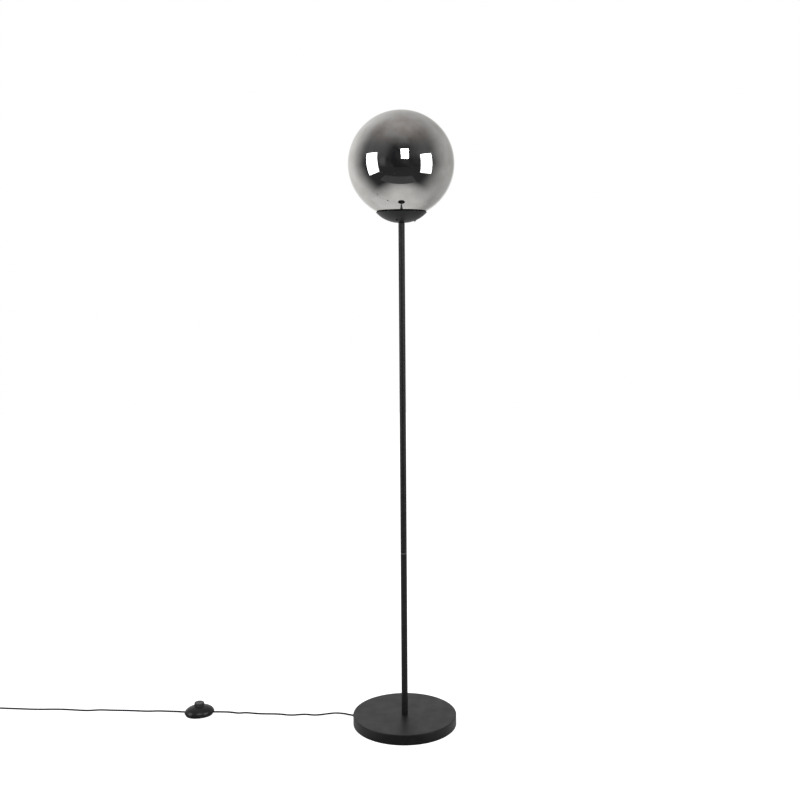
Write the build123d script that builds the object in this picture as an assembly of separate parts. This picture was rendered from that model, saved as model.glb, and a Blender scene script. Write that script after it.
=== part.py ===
from build123d import *
import math
import os

# A floor lamp with a smoked glass globe in a shallow steel cup, on a thin pole of three
# screwed tubes, a weighted disc base, a flat cord, a foot switch on the floor and a flat plug.
#
# Millimetres, +Z up. The origin is the centre of the base's underside, on the floor.
# The front is towards -Y, and the cord leaves the base towards -X, a little to the back.

# ---------------------------------------------------------------- driving sizes
# Gaps
thread_gap = 0.05  # round a thread, and round a tube's pressed insert
slip_gap = 0.3  # between pieces that slide or turn past each other
cord_gap = 0.2  # round the cord where it passes through a hole

# Base
base_diameter = 250.0
base_height = 25.0
cover_wall = 1.2
cover_edge_radius = 1.4
cover_lift = 0.5  # the cover's lower edge stays off the floor
pad_thickness = 1.5
pad_inset = 1.5
bottom_plate_thickness = 0.8
bottom_plate_gap = 0.6
ballast_thickness = 14.0
ballast_gap = 0.4
ballast_chamfer = 1.5
ballast_recess_radius = 17.0
ballast_web = 3.5  # iron left above the central recess
boss_radius = 7.0
boss_circle = 95.0
boss_count = 3
boss_first_angle = 15.0
plate_screw_radius = 2.0
plate_screw_head_radius = 4.0
plate_screw_length = 9.0

# Threaded nipples, nuts and washers
nipple_radius = 5.0
nipple_bore_radius = 3.6
nipple_reach = 12.0  # how far a nipple screws into a tube's insert
nut_across_flats = 14.0
nut_thickness = 4.5
nipple_tail = 0.5  # thread that shows past a nut
washer_radius = 9.0
washer_thickness = 1.2

# Pole
pole_diameter = 15.0
pole_wall = 1.0
pole_section = 394.7
pole_sections = 3
pole_edge = 0.5  # the small chamfer that shows at each seam
insert_length = 14.0

# Cup
cup_diameter = 120.6
cup_depth = 24.5
cup_wall = 1.2
cup_flat_radius = 12.0
cup_curve_radius = 74.0
cup_nut_thickness = 4.0

# Globe and the plate that holds it
globe_diameter = 250.0
globe_wall = 3.0
mouth_radius = 40.0  # inside edge of the globe's mouth
mouth_below_rim = 3.256  # how deep the globe's ground edge stands in the cup
gasket_thickness = 1.0
gasket_overlap = 1.0  # how far the gasket reaches inside and outside the glass edge
holder_plate_thickness = 1.2
holder_plate_radius = 50.0
pillar_radius = 3.5
pillar_circle = 32.0
pillar_count = 3
pillar_first_angle = -110.0
cup_screw_radius = 1.5
cup_screw_head_radius = 2.7
cup_screw_head_height = 1.6
clip_count = 3
clip_first_angle = -50.0
clip_width = 8.0
clip_thickness = 0.6
clip_rivet_circle = 27.0
clip_foot_start = 23.0
clip_leg_radius = 35.0
clip_knee_gap = 0.4  # between the clip's knee and the mouth's inside edge
clip_knee_rise = 6.0
clip_height = 15.0
rivet_radius = 1.6
rivet_head_radius = 2.6
rivet_head_height = 0.8

# Lampholder
holder_radius = 20.0
holder_wall = 2.0
holder_cap_height = 24.0
holder_floor = 6.0
holder_boss_radius = 9.0
skirt_height = 28.0
skirt_radius = 18.6
core_height = 11.0
core_gap = 0.4
sleeve_wall = 0.5
sleeve_height = 22.0
contact_width = 6.0
contact_thickness = 0.5
contact_rise = 1.6
nipple_in_holder = 9.0

# Bulb
thread_pitch = 3.62
thread_crest_radius = 13.1
thread_root_radius = 12.2
thread_turns = 5
cap_wall = 0.4
cap_insulator_height = 3.5
cap_button_radius = 4.8
cap_button_height = 1.4
cap_collar_height = 5.0
bulb_radius = 30.0
bulb_neck_radius = 13.4
bulb_neck_height = 6.0
bulb_wall = 0.8
bulb_ball_height = 47.0  # from the top of the cap to the widest place
stem_radius = 3.0
stem_foot_height = 4.0
stem_height = 34.0
filament_count = 4
filament_radius = 1.0
filament_length = 36.0
filament_circle = 8.5
support_wire_radius = 0.5

# Cord
cord_width = 5.2
cord_thickness = 3.2
exit_angle = 165.5  # where the cord leaves the base, seen from above
bushing_length_inside = 15.0
bushing_nose = 5.0
bushing_wall = 2.0
flange_thickness = 1.8
flange_overlap = 1.6
inlet_turn_radius = 8.0
clamp_place = 80.0
clamp_length = 8.0
clamp_width = 26.0
clamp_screw_radius = 1.5

# Foot switch
switch_x = -510.6
switch_y = 57.0
switch_long = 73.0
switch_short = 58.0
switch_turn = 20.0  # the oval body lies turned under its straight cord
switch_height = 24.8
switch_split = 7.0  # the tray and the dome meet at the cord's middle, where they are widest
switch_foot_inset = 4.0  # how far the tray draws in from there to the floor
switch_wall = 2.0
button_radius = 12.0
button_height = 31.8
button_edge = 1.6
button_wall = 1.8
button_flange = 1.6
button_flange_height = 1.5
block_length = 26.0
block_width = 18.0
block_top = 9.5
spring_radius = 5.0
spring_wire = 0.8
spring_turns = 4
switch_clamp_length = 5.0
switch_clamp_width = 16.0
switch_clamp_thickness = 1.6
switch_clamp_place = 18.5
small_screw_radius = 1.2
small_screw_head_radius = 2.2
small_screw_head_height = 1.2
case_screw_place = 17.6
case_screw_length = 9.7
case_screw_lift = 0.3
switch_post_radius = 2.8

# Coil of spare cord and the plug
coil_x = -1061.0
coil_y = 65.0
coil_outer_radius = 34.2  # of the outermost turn's middle line
coil_pitch = 3.8
coil_half_turns = 6  # in each layer
coil_layer_rise = 5.8
floor_gap = 0.05
twist_length = 20.0
tail_run = 10.0
end_trim = 1.0  # cut off square where the coil meets the tail
plug_height = 13.7
plug_width = 35.3
plug_length = 36.0
plug_back_width = 18.0
plug_back_height = 10.6
plug_edge = 5.0
relief_length = 22.0
relief_front_width = 11.0
relief_front_height = 9.0
relief_tip_width = 7.4
relief_tip_height = 5.4
relief_grooves = 4
relief_groove_width = 1.6
relief_groove_depth = 0.8
pin_spacing = 18.6
pin_radius = 2.0
pin_length = 19.0
pin_sleeve_radius = 1.8
pin_core_radius = 1.5
pin_sleeve_length = 10.0
pin_tip_radius = 1.2
pin_root = 8.0  # how far a pin is held in the plug

# ------------------------------------------------------------- worked-out sizes
cover_radius = base_diameter / 2
cover_inside = cover_radius - cover_wall
plate_top = pad_thickness + bottom_plate_thickness
ballast_top = base_height - cover_wall
ballast_bottom = ballast_top - ballast_thickness
recess_top = ballast_top - ballast_web
exit_height = (plate_top + ballast_bottom) / 2

pole_radius = pole_diameter / 2
pole_top = base_height + pole_sections * pole_section
insert_radius = pole_radius - pole_wall - thread_gap

cup_radius = cup_diameter / 2
rim_height = pole_top + cup_depth
mouth_height = rim_height - mouth_below_rim
globe_radius = globe_diameter / 2
globe_inside = globe_radius - globe_wall
globe_centre = mouth_height + math.sqrt(globe_inside**2 - mouth_radius**2)
mouth_outside = math.sqrt(globe_radius**2 - (globe_centre - mouth_height) ** 2)
holder_plate_top = mouth_height - gasket_thickness
holder_plate_bottom = holder_plate_top - holder_plate_thickness

core_top = holder_plate_top + holder_cap_height + 2.0
core_bottom = core_top - core_height
bulb_tip = core_top + contact_rise + contact_thickness + slip_gap
cap_bottom = bulb_tip + cap_button_height + cap_insulator_height
cap_top = cap_bottom + thread_turns * thread_pitch
bulb_start = cap_top + cap_collar_height
clip_knee_radius = mouth_radius - clip_knee_gap - clip_thickness / 2

button_hole = button_radius + slip_gap
flange_edge = (button_radius + button_flange) / (switch_short / 2 - switch_wall)
dome_inside = switch_height - switch_split - switch_wall
button_low = switch_split + dome_inside * math.sqrt(1 - flange_edge**2) - button_flange_height
case_screw_seat = case_screw_lift + small_screw_head_height
clamp_bar_bottom = switch_split + cord_thickness / 2
clamp_bar_top = clamp_bar_bottom + switch_clamp_thickness
plug_middle = plug_height / 2
coil_low = cord_width / 2 + floor_gap
coil_high = coil_low + coil_layer_rise

UP = (Align.CENTER, Align.CENTER, Align.MIN)
DOWN = (Align.CENTER, Align.CENTER, Align.MAX)


# ------------------------------------------------------------------ small tools
def post(radius, bottom, top, hole=0.0):
    """An upright cylinder, or a ring where it has a hole."""
    solid = Pos(0, 0, bottom) * Cylinder(radius, top - bottom, align=UP)
    if hole:
        solid -= Pos(0, 0, bottom - 1) * Cylinder(hole, top - bottom + 2, align=UP)
    return solid


def block(length, width, bottom, top):
    return Pos(0, 0, bottom) * Box(length, width, top - bottom, align=UP)


def around(solid, count, first_angle):
    """The same solid at even steps round the lamp's axis."""
    return [Rot(0, 0, first_angle + 360 / count * i) * solid for i in range(count)]


def group(solids):
    """Separate solids that share one node."""
    return Compound(children=[s.solid() for s in solids])


def spun(outline):
    """A solid of revolution from an outline of (radius, height) in the XZ plane."""
    return revolve(Plane.XZ * outline, Axis.Z, 360)


def hex_nut(bottom, thickness, hole):
    flats = RegularPolygon(nut_across_flats / 2, 6, major_radius=False)
    nut = Pos(0, 0, bottom) * extrude(flats, thickness)
    return nut - post(hole, bottom - 1, bottom + thickness + 1)


def nipple(bottom, top):
    return post(nipple_radius, bottom, top, nipple_bore_radius)


def rounded_bar(width, height, start, end):
    """A bar of slot section along +X, its broad side lying flat."""
    section = Plane(origin=(start, 0, 0), x_dir=(0, 1, 0), z_dir=(1, 0, 0))
    return extrude(section * SlotOverall(width, height), end - start)


# ------------------------------------------------------------------------- base
def base_cover():
    """The drawn steel shell over the weight, with holes for the pole's nipple and the cord."""
    shell = post(cover_radius, cover_lift, base_height)
    shell = fillet(shell.edges().group_by(Axis.Z)[-1], cover_edge_radius)
    shell -= post(cover_inside, 0, ballast_top)
    shell -= post(nipple_radius + slip_gap, ballast_top - 1, base_height + 1)
    hole = rounded_bar(*bushing_neck(cord_gap), cover_inside - 5, cover_radius + 5)
    return shell - at_exit(hole)


def at_exit(solid):
    """Moves something made along +X at floor level to where the cord leaves the base."""
    return Rot(0, 0, exit_angle) * Pos(0, 0, exit_height) * solid


def bushing_neck(extra=0.0):
    """Width and height of the bushing where it fills the cover's hole."""
    around_cord = 2 * bushing_wall + extra
    return cord_width + around_cord, cord_thickness + around_cord


def ballast_weight():
    """The cast iron disc, recessed for the nut, with bosses that the bottom plate screws to."""
    disc = post(cover_inside - ballast_gap, ballast_bottom, ballast_top)
    disc = chamfer(disc.edges().group_by(Axis.Z)[-1], ballast_chamfer)
    for boss in around(
        Pos(boss_circle, 0, 0) * post(boss_radius, plate_top, ballast_bottom + 1),
        boss_count, boss_first_angle,
    ):
        disc += boss
    disc -= post(ballast_recess_radius, ballast_bottom - 1, recess_top)
    disc -= post(nipple_radius + slip_gap, recess_top - 1, ballast_top + 1)
    hole = Pos(boss_circle, 0, 0) * post(
        plate_screw_radius + thread_gap, plate_top - 1, pad_thickness + plate_screw_length + 1
    )
    for screw_hole in around(hole, boss_count, boss_first_angle):
        disc -= screw_hole
    for clamp_hole in clamp_screws(clamp_screw_radius + thread_gap, 1.0):
        disc -= clamp_hole
    return disc


def base_bottom_plate():
    plate = post(cover_inside - bottom_plate_gap, pad_thickness, plate_top)
    for screw in around(plate_screw(slip_gap / 2), boss_count, boss_first_angle):
        plate -= screw
    return plate


def plate_screw(extra=0.0):
    """A countersunk screw from below, flush with the plate's underside."""
    head = Pos(0, 0, pad_thickness) * Cone(
        plate_screw_head_radius + extra, plate_screw_radius + extra,
        bottom_plate_thickness, align=UP,
    )
    shank = post(plate_screw_radius + extra, pad_thickness, pad_thickness + plate_screw_length)
    return Pos(boss_circle, 0, 0) * (head + shank)


def base_plate_screws():
    return group(around(plate_screw(), boss_count, boss_first_angle))


def base_pad():
    """The foam disc under the bottom plate that the lamp stands on."""
    return post(cover_inside - bottom_plate_gap - pad_inset, 0, pad_thickness)


def foot_washer():
    return post(washer_radius, recess_top - washer_thickness, recess_top, nipple_radius + slip_gap)


def foot_nut():
    bottom = recess_top - washer_thickness - nut_thickness
    return hex_nut(bottom, nut_thickness, nipple_radius + thread_gap)


def foot_nipple():
    bottom = recess_top - washer_thickness - nut_thickness - nipple_tail
    return nipple(bottom, base_height + nipple_reach)


def base_cord_bushing():
    """The tapered bushing that the cord leaves the base through."""
    width, height = bushing_neck()
    body = rounded_bar(width, height, cover_inside - bushing_length_inside, cover_radius + 1)
    flange_start = cover_radius + 0.2
    flange_end = flange_start + flange_thickness
    flange = rounded_bar(
        width + 2 * flange_overlap, height + 2 * flange_overlap, flange_start, flange_end
    )
    barb = rounded_bar(
        width + flange_overlap, height, cover_inside - flange_thickness - 1, cover_inside - 0.4
    )
    wide = Plane(origin=(flange_end, 0, 0), x_dir=(0, 1, 0), z_dir=(1, 0, 0))
    tip = Plane(origin=(flange_end + bushing_nose, 0, 0), x_dir=(0, 1, 0), z_dir=(1, 0, 0))
    nose = loft([
        wide * SlotOverall(width, height),
        tip * SlotOverall(width - bushing_wall, height - bushing_wall),
    ])
    bore = rounded_bar(
        cord_width + 2 * cord_gap, cord_thickness + 2 * cord_gap,
        cover_inside - bushing_length_inside - 1, flange_end + bushing_nose + 1,
    )
    return at_exit(body + barb + flange + nose - bore)


def clamp_screws(radius, extra=0.0):
    """The two screws of the cord clamp, upwards into the weight."""
    place = clamp_width / 2 - 2 * clamp_screw_radius - 0.5
    bottom = (plate_top + exit_height - cord_thickness / 2) / 2
    screws = []
    for side in (-place, place):
        shank = Pos(clamp_place, side, 0) * post(radius, bottom, ballast_bottom + 6 + extra)
        screws.append(Rot(0, 0, exit_angle) * shank)
    return screws


def base_cord_clamp():
    """The block that grips the cord under the weight."""
    bottom = (plate_top + exit_height - cord_thickness / 2) / 2
    bar = Pos(clamp_place, 0, 0) * block(clamp_length, clamp_width, bottom, ballast_bottom)
    bar = Rot(0, 0, exit_angle) * bar
    bar -= at_exit(rounded_bar(
        cord_width + cord_gap, cord_thickness + cord_gap,
        clamp_place - clamp_length, clamp_place + clamp_length,
    ))
    for hole in clamp_screws(clamp_screw_radius + thread_gap):
        bar -= hole
    return bar


def base_cord_clamp_screws():
    return group(clamp_screws(clamp_screw_radius))


# ------------------------------------------------------------------------- pole
def pole_tube(number):
    """One of the three equal tubes, counted up from the base."""
    bottom = base_height + number * pole_section
    tube = post(pole_radius, bottom, bottom + pole_section)
    tube = chamfer(tube.edges().filter_by(GeomType.CIRCLE), pole_edge)
    return tube - post(pole_radius - pole_wall, bottom - 1, bottom + pole_section + 1)


def pole_inserts():
    """The threaded bushes pressed into both ends of each tube."""
    bushes = []
    for number in range(pole_sections):
        bottom = base_height + number * pole_section
        top = bottom + pole_section
        hole = nipple_radius + thread_gap
        bushes.append(post(insert_radius, bottom, bottom + insert_length, hole))
        bushes.append(post(insert_radius, top - insert_length, top, hole))
    return group(bushes)


def pole_joining_nipples():
    """The hollow studs that screw one tube to the next."""
    studs = []
    for number in range(1, pole_sections):
        seam = base_height + number * pole_section
        studs.append(nipple(seam - nipple_reach, seam + nipple_reach))
    return group(studs)


# ---------------------------------------------------------------- cup and globe
def cup_arc_centre():
    """Centre of the arc that the cup's outside follows, as (radius, height above its bottom)."""
    start, end = (cup_flat_radius, 0.0), (cup_radius, cup_depth)
    half = math.dist(start, end) / 2
    rise = math.sqrt(cup_curve_radius**2 - half**2)
    run_x, run_z = (end[0] - start[0]) / (2 * half), (end[1] - start[1]) / (2 * half)
    return (
        (start[0] + end[0]) / 2 - run_z * rise,
        (start[1] + end[1]) / 2 + run_x * rise,
    )


def cup_radius_at(height, wall=0.0):
    """The cup's radius at a height above its bottom, outside, or inside of its wall."""
    x, z = cup_arc_centre()
    return x + math.sqrt((cup_curve_radius - wall) ** 2 - (height - z) ** 2)


def cup_bowl(wall=0.0):
    """The solid that the cup's outside, or the inside of its wall, would enclose."""
    x, z = cup_arc_centre()
    radius = cup_curve_radius - wall
    low, high = (cup_radius_at(wall, wall), wall), (cup_radius_at(cup_depth, wall), cup_depth)
    half_way = (math.atan2(low[1] - z, low[0] - x) + math.atan2(high[1] - z, high[0] - x)) / 2
    middle = (x + radius * math.cos(half_way), z + radius * math.sin(half_way))
    edges = Polyline(high, (0, cup_depth), (0, wall), low) + ThreePointArc(low, middle, high)
    return Pos(0, 0, pole_top) * spun(make_face(edges))


def cup():
    """The spun steel cup that the globe sits in."""
    bowl = cup_bowl() - cup_bowl(cup_wall)
    bowl -= post(nipple_radius + slip_gap, pole_top - 1, pole_top + cup_wall + 1)
    for hole in around(
        Pos(pillar_circle, 0, 0) * post(cup_screw_radius + thread_gap, pole_top - 1, rim_height),
        pillar_count, pillar_first_angle,
    ):
        bowl -= hole
    return bowl


def holder_pillars():
    """The posts between the cup and the plate above it."""
    bore = cup_screw_radius + thread_gap
    post_up = post(pillar_radius, pole_top, holder_plate_bottom, bore)
    inside = cup_bowl(cup_wall)
    pillars = [
        p & inside for p in around(
            Pos(pillar_circle, 0, 0) * post_up, pillar_count, pillar_first_angle
        )
    ]
    return group(pillars)


def cup_screws():
    """The small screws whose heads show under the cup."""
    surface = pole_top + cup_surface_height(pillar_circle)
    shank = post(cup_screw_radius, surface - 1, holder_plate_bottom - 1)
    head = post(cup_screw_head_radius, surface - cup_screw_head_height, surface + 3)
    head = head - Pos(-pillar_circle, 0, 0) * cup_bowl()
    screw = Pos(pillar_circle, 0, 0) * (head + shank)
    return group(around(screw, pillar_count, pillar_first_angle))


def cup_surface_height(radius):
    """How high the cup's outside is above its bottom at a radius."""
    x, z = cup_arc_centre()
    return z - math.sqrt(cup_curve_radius**2 - (radius - x) ** 2)


def cup_washer():
    bottom = pole_top + cup_wall
    return post(washer_radius, bottom, bottom + washer_thickness, nipple_radius + slip_gap)


def cup_nut():
    bottom = pole_top + cup_wall + washer_thickness
    return hex_nut(bottom, cup_nut_thickness, nipple_radius + thread_gap)


def top_nipple():
    """The hollow stud from the pole through the cup and the plate into the lampholder."""
    return nipple(pole_top - nipple_reach, holder_plate_top + nipple_in_holder)


def globe_holder_plate():
    plate = post(holder_plate_radius, holder_plate_bottom, holder_plate_top)
    plate -= post(nipple_radius + slip_gap, holder_plate_bottom - 1, holder_plate_top + 1)
    rivet = Pos(clip_rivet_circle, 0, 0) * post(rivet_radius, holder_plate_bottom - 1, rim_height)
    for hole in around(rivet, clip_count, clip_first_angle):
        plate -= hole
    return plate


def globe_clips():
    """Three bent strips that stand up through the globe's mouth and steady it from inside."""
    foot = holder_plate_top + clip_thickness / 2
    line = FilletPolyline(
        (clip_foot_start, 0, foot),
        (clip_leg_radius, 0, foot),
        (clip_knee_radius, 0, mouth_height + clip_knee_rise),
        (clip_leg_radius, 0, mouth_height + clip_height),
        radius=2 * clip_thickness,
    )
    section = Plane(origin=line @ 0, x_dir=(0, 1, 0), z_dir=(1, 0, 0))
    strip = sweep(section * Rectangle(clip_width, clip_thickness), path=line)
    strip -= Pos(clip_rivet_circle, 0, 0) * post(rivet_radius, foot - 1, foot + 1)
    return group(around(strip, clip_count, clip_first_angle))


def clip_rivets():
    low_head = post(
        rivet_head_radius, holder_plate_bottom - rivet_head_height, holder_plate_bottom
    )
    top = holder_plate_top + clip_thickness
    body = post(rivet_radius, holder_plate_bottom, top)
    top_head = post(rivet_head_radius, top, top + rivet_head_height)
    rivet = Pos(clip_rivet_circle, 0, 0) * (low_head + body + top_head)
    return group(around(rivet, clip_count, clip_first_angle))


def globe_gasket():
    """The soft ring between the plate and the ground edge of the glass."""
    outside = min(mouth_outside + gasket_overlap, holder_plate_radius)
    return post(outside, holder_plate_top, mouth_height, mouth_radius - gasket_overlap)


def globe_glass():
    """The blown globe, open at the bottom, its edge ground flat."""
    ball = Pos(0, 0, globe_centre) * (Sphere(globe_radius) - Sphere(globe_inside))
    below = post(globe_radius, mouth_height - globe_diameter, mouth_height)
    return ball - below


# ------------------------------------------------------------------- lampholder
def lampholder_cap():
    """The lower half of the lampholder's case, screwed on the nipple."""
    low, high = holder_plate_top, holder_plate_top + holder_cap_height
    cap = post(holder_radius, low, high)
    cap = fillet(cap.edges().group_by(Axis.Z)[0], 1.5)
    cap -= post(holder_radius - holder_wall, low + holder_wall, high + 1)
    cap += post(holder_boss_radius, low, low + nipple_in_holder)
    return cap - post(nipple_radius + thread_gap, low - 1, low + nipple_in_holder + 1)


def lampholder_skirt():
    """The upper half of the case, round the screw sleeve."""
    low = holder_plate_top + holder_cap_height
    inside = thread_crest_radius + slip_gap + sleeve_wall + 1.2
    collar = post(holder_radius, low, low + holder_floor)
    skirt = collar + post(skirt_radius, low, low + skirt_height)
    skirt = fillet(skirt.edges().group_by(Axis.Z)[-1], 1.5)
    skirt -= post(holder_radius - holder_wall - 1, low - 1, core_top)
    return skirt - post(inside, low - 1, low + skirt_height + 1)


def lampholder_core():
    """The ceramic disc that carries the contacts."""
    core = post(holder_radius - holder_wall - 1 - core_gap, core_bottom, core_top)
    for side in (-9.0, 9.0):
        core -= Pos(side, 0, 0) * post(2.4, core_bottom - 1, core_bottom + 5)
    return core


def rolled_thread(crest, root, bottom, turns):
    """Outline points and arcs of a rolled screw shell, as rounded rings."""
    edges = []
    for turn in range(turns):
        low = bottom + turn * thread_pitch
        edges.append(ThreePointArc(
            (root, low), (crest, low + thread_pitch / 2), (root, low + thread_pitch)
        ))
    return edges


def shell_of_rings(crest, root, bottom, turns, wall):
    """A thin screw shell: rounded rings outside, and the same rings inside its wall."""
    top = bottom + turns * thread_pitch
    outside = rolled_thread(crest, root, bottom, turns)
    inside = rolled_thread(crest - wall, root - wall, bottom, turns)
    ends = [
        Line((root - wall, bottom), (root, bottom)), Line((root - wall, top), (root, top))
    ]
    return spun(make_face(Wire(outside + inside + ends)))


def lampholder_sleeve():
    """The brass screw sleeve that the bulb turns into."""
    gap = slip_gap + sleeve_wall
    turns = int(sleeve_height // thread_pitch)
    bottom = cap_bottom + (thread_turns - turns) * thread_pitch
    sleeve = shell_of_rings(
        thread_crest_radius + gap, thread_root_radius + gap, bottom, turns, sleeve_wall
    )
    foot = thread_root_radius + gap
    return sleeve + post(foot, core_top, bottom, foot - sleeve_wall)


def lampholder_contact():
    """The sprung middle contact, bent up from the core."""
    line = FilletPolyline(
        (-7, 0, core_top + contact_thickness / 2),
        (-1.5, 0, core_top + contact_thickness / 2),
        (1.5, 0, core_top + contact_rise + contact_thickness / 2),
        (5, 0, core_top + contact_rise + contact_thickness / 2),
        radius=1.0,
    )
    section = Plane(origin=line @ 0, x_dir=(0, 1, 0), z_dir=(1, 0, 0))
    return sweep(section * Rectangle(contact_width, contact_thickness), path=line)


# ------------------------------------------------------------------------- bulb
def bulb_cap():
    """The screw shell of the bulb, with a collar where the glass is cemented in."""
    shell = shell_of_rings(
        thread_crest_radius, thread_root_radius, cap_bottom, thread_turns, cap_wall
    )
    collar = post(bulb_neck_radius, cap_top, bulb_start, thread_root_radius - cap_wall)
    return shell + collar


def bulb_insulator():
    """The black glass button in the cap's end, with the solder tip below it."""
    low = bulb_tip + cap_button_height
    cone = Pos(0, 0, low) * Cone(
        cap_button_radius + 1.5, thread_root_radius - cap_wall, cap_insulator_height, align=UP
    )
    return cone + post(cap_button_radius, bulb_tip, low)


def bulb_outline(shrink):
    """The envelope's outline: a straight neck, a cone that meets the ball, and the ball."""
    ball, neck = bulb_radius - shrink, bulb_neck_radius - 0.2 - shrink
    centre = bulb_start + bulb_ball_height
    neck_top = bulb_start + bulb_neck_height
    reach = math.dist((neck, neck_top), (0, centre))
    lean = math.atan2(neck, centre - neck_top) + math.acos(ball / reach)
    touch = (ball * math.sin(lean), centre - ball * math.cos(lean))
    bottom = bulb_start + shrink
    edges = Polyline((0, centre + ball), (0, bottom), (neck, bottom), (neck, neck_top), touch)
    return make_face(edges + ThreePointArc(touch, (ball, centre), (0, centre + ball)))


def bulb_glass():
    return spun(bulb_outline(0.0)) - spun(bulb_outline(bulb_wall))


def bulb_stem():
    """The glass stem inside the bulb."""
    low = bulb_start + bulb_wall
    foot = Pos(0, 0, low) * Cone(2.5 * stem_radius, stem_radius, stem_foot_height, align=UP)
    return foot + post(stem_radius, low, low + stem_height)


def filament_span():
    """Lowest and highest point of the filaments."""
    middle = bulb_start + bulb_ball_height
    return middle - filament_length / 2, middle + filament_length / 2


def bulb_filaments():
    low, high = filament_span()
    rod = Pos(filament_circle, 0, 0) * post(filament_radius, low, high)
    return group(around(rod, filament_count, 45.0))


def bulb_support_wires():
    """The wires that carry the filaments: a star on the stem, a post and a star above."""
    low, high = filament_span()
    stem_top = bulb_start + bulb_wall + stem_height
    frame = post(support_wire_radius, stem_top, high + 2 * support_wire_radius)
    for height in (low - support_wire_radius, high + support_wire_radius):
        spoke = Pos(0, 0, height) * (
            Rot(0, 90, 0) * Cylinder(support_wire_radius, filament_circle + 1, align=UP)
        )
        for arm in around(spoke, filament_count, 45.0):
            frame += arm
    frame -= post(stem_radius, bulb_start, stem_top)
    return frame


# ------------------------------------------------------------------ foot switch
def at_switch(solid, turned=False):
    """Moves something made at the origin to the foot switch."""
    return Pos(switch_x, switch_y, 0) * Rot(0, 0, switch_turn if turned else 0) * solid


def switch_form(inset):
    """The switch's oval form: a tray that widens upwards, with a domed top."""
    long_half, short_half = switch_long / 2 - inset, switch_short / 2 - inset
    foot = Ellipse(long_half - switch_foot_inset, short_half - switch_foot_inset)
    tray = loft([foot, Pos(0, 0, switch_split) * Ellipse(long_half, short_half)])
    dome = scale(Sphere(1.0), by=(long_half, short_half, switch_height - switch_split - inset))
    dome &= block(switch_long, switch_long, 0, switch_height)
    return tray + Pos(0, 0, switch_split) * dome


def switch_cords(extra):
    """The straight cord through the switch, with room round it."""
    return Pos(0, 0, switch_split) * rounded_bar(
        cord_width + extra, cord_thickness + extra, -switch_long, switch_long
    )


def switch_shell():
    hollow = switch_form(switch_wall) - block(switch_long, switch_long, 0, switch_wall)
    shell = Rot(0, 0, switch_turn) * (switch_form(0.0) - hollow)
    return shell - switch_cords(2 * cord_gap)


def switch_lower_shell():
    """The tray that lies on the floor, with the posts that the case screws reach."""
    tray = switch_shell() & block(2 * switch_long, 2 * switch_long, 0, switch_split)
    for side in (-1, 1):
        place = Rot(0, 0, switch_turn + 90) * Pos(side * case_screw_place, 0, 0)
        tray += place * post(switch_post_radius, switch_wall, switch_split)
        tray -= place * post(small_screw_radius + thread_gap, -1, switch_split + 1)
        tray -= place * post(small_screw_head_radius + thread_gap, -1, case_screw_seat)
    return at_switch(tray)


def switch_upper_shell():
    """The dome, with the button's hole."""
    dome = switch_shell() & block(2 * switch_long, 2 * switch_long, switch_split, switch_height)
    dome -= post(button_hole, switch_split, switch_height + 1)
    for side in (-1, 1):
        place = Rot(0, 0, switch_turn + 90) * Pos(side * case_screw_place, 0, 0)
        hole = small_screw_radius + thread_gap
        boss = place * post(switch_post_radius, switch_split, switch_height, hole)
        dome += boss & (Rot(0, 0, switch_turn) * switch_form(switch_wall / 2))
    return at_switch(dome)


def switch_case_screws():
    screws = []
    for side in (-1, 1):
        place = Rot(0, 0, switch_turn + 90) * Pos(side * case_screw_place, 0, 0)
        head = post(small_screw_head_radius, case_screw_lift, case_screw_seat)
        top = case_screw_lift + case_screw_length
        screws.append(at_switch(place * (head + post(small_screw_radius, case_screw_lift, top))))
    return group(screws)


def switch_block():
    """The contact block between the two cord ends."""
    body = block(block_length, block_width, switch_wall, block_top)
    body = fillet(body.edges().filter_by(Axis.Z), 1.5)
    body -= post(spring_radius + spring_wire, block_top - 1.0, block_top + 1)
    return at_switch(body)


def switch_cord_clamps():
    """The two bars that hold the cord's ends down in the switch."""
    bars = []
    for side in (-1, 1):
        bar = Pos(side * switch_clamp_place, 0, 0) * block(
            switch_clamp_length, switch_clamp_width, clamp_bar_bottom, clamp_bar_top
        )
        for hole in clamp_screw_places(side):
            bar -= hole * post(small_screw_radius + thread_gap, 0, switch_height)
        bars.append(at_switch(bar))
    return group(bars)


def clamp_screw_places(side):
    x, y = side * switch_clamp_place, switch_clamp_width / 2 - small_screw_head_radius - 0.8
    return [Pos(x, -y, 0), Pos(x, y, 0)]


def switch_clamp_screws():
    """Four small screws, from the clamp bars down to the tray."""
    top = clamp_bar_top
    screws = []
    for side in (-1, 1):
        for place in clamp_screw_places(side):
            head = post(small_screw_head_radius, top, top + small_screw_head_height)
            screws.append(at_switch(place * (head + post(small_screw_radius, switch_wall, top))))
    return group(screws)


def switch_button():
    """The round push button, hollow for its spring, with a flange under the dome."""
    low = button_low - floor_gap
    button = post(button_radius, low, button_height)
    button = fillet(button.edges().group_by(Axis.Z)[-1], button_edge)
    button += post(button_radius + button_flange, low, low + button_flange_height)
    button -= post(button_radius - button_wall, low - 1, button_height - 2 * button_wall)
    button += post(2.0, low, button_height - 2 * button_wall + 0.5)
    return at_switch(button)


def switch_spring():
    """The return spring between the block and the button."""
    low = block_top - 1.0 + spring_wire / 2 + 0.05
    high = button_height - 2 * button_wall - spring_wire / 2 - 0.05
    rise = (high - low) / spring_turns
    edges = []
    steps = 4 * spring_turns
    for step in range(steps):
        edges.append(helix_arc(low, rise, step / 4, (step + 1) / 4))
    line = Wire(edges)
    section = Plane(origin=line @ 0, z_dir=line % 0)
    return at_switch(sweep(section * Circle(spring_wire / 2), path=line))


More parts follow.
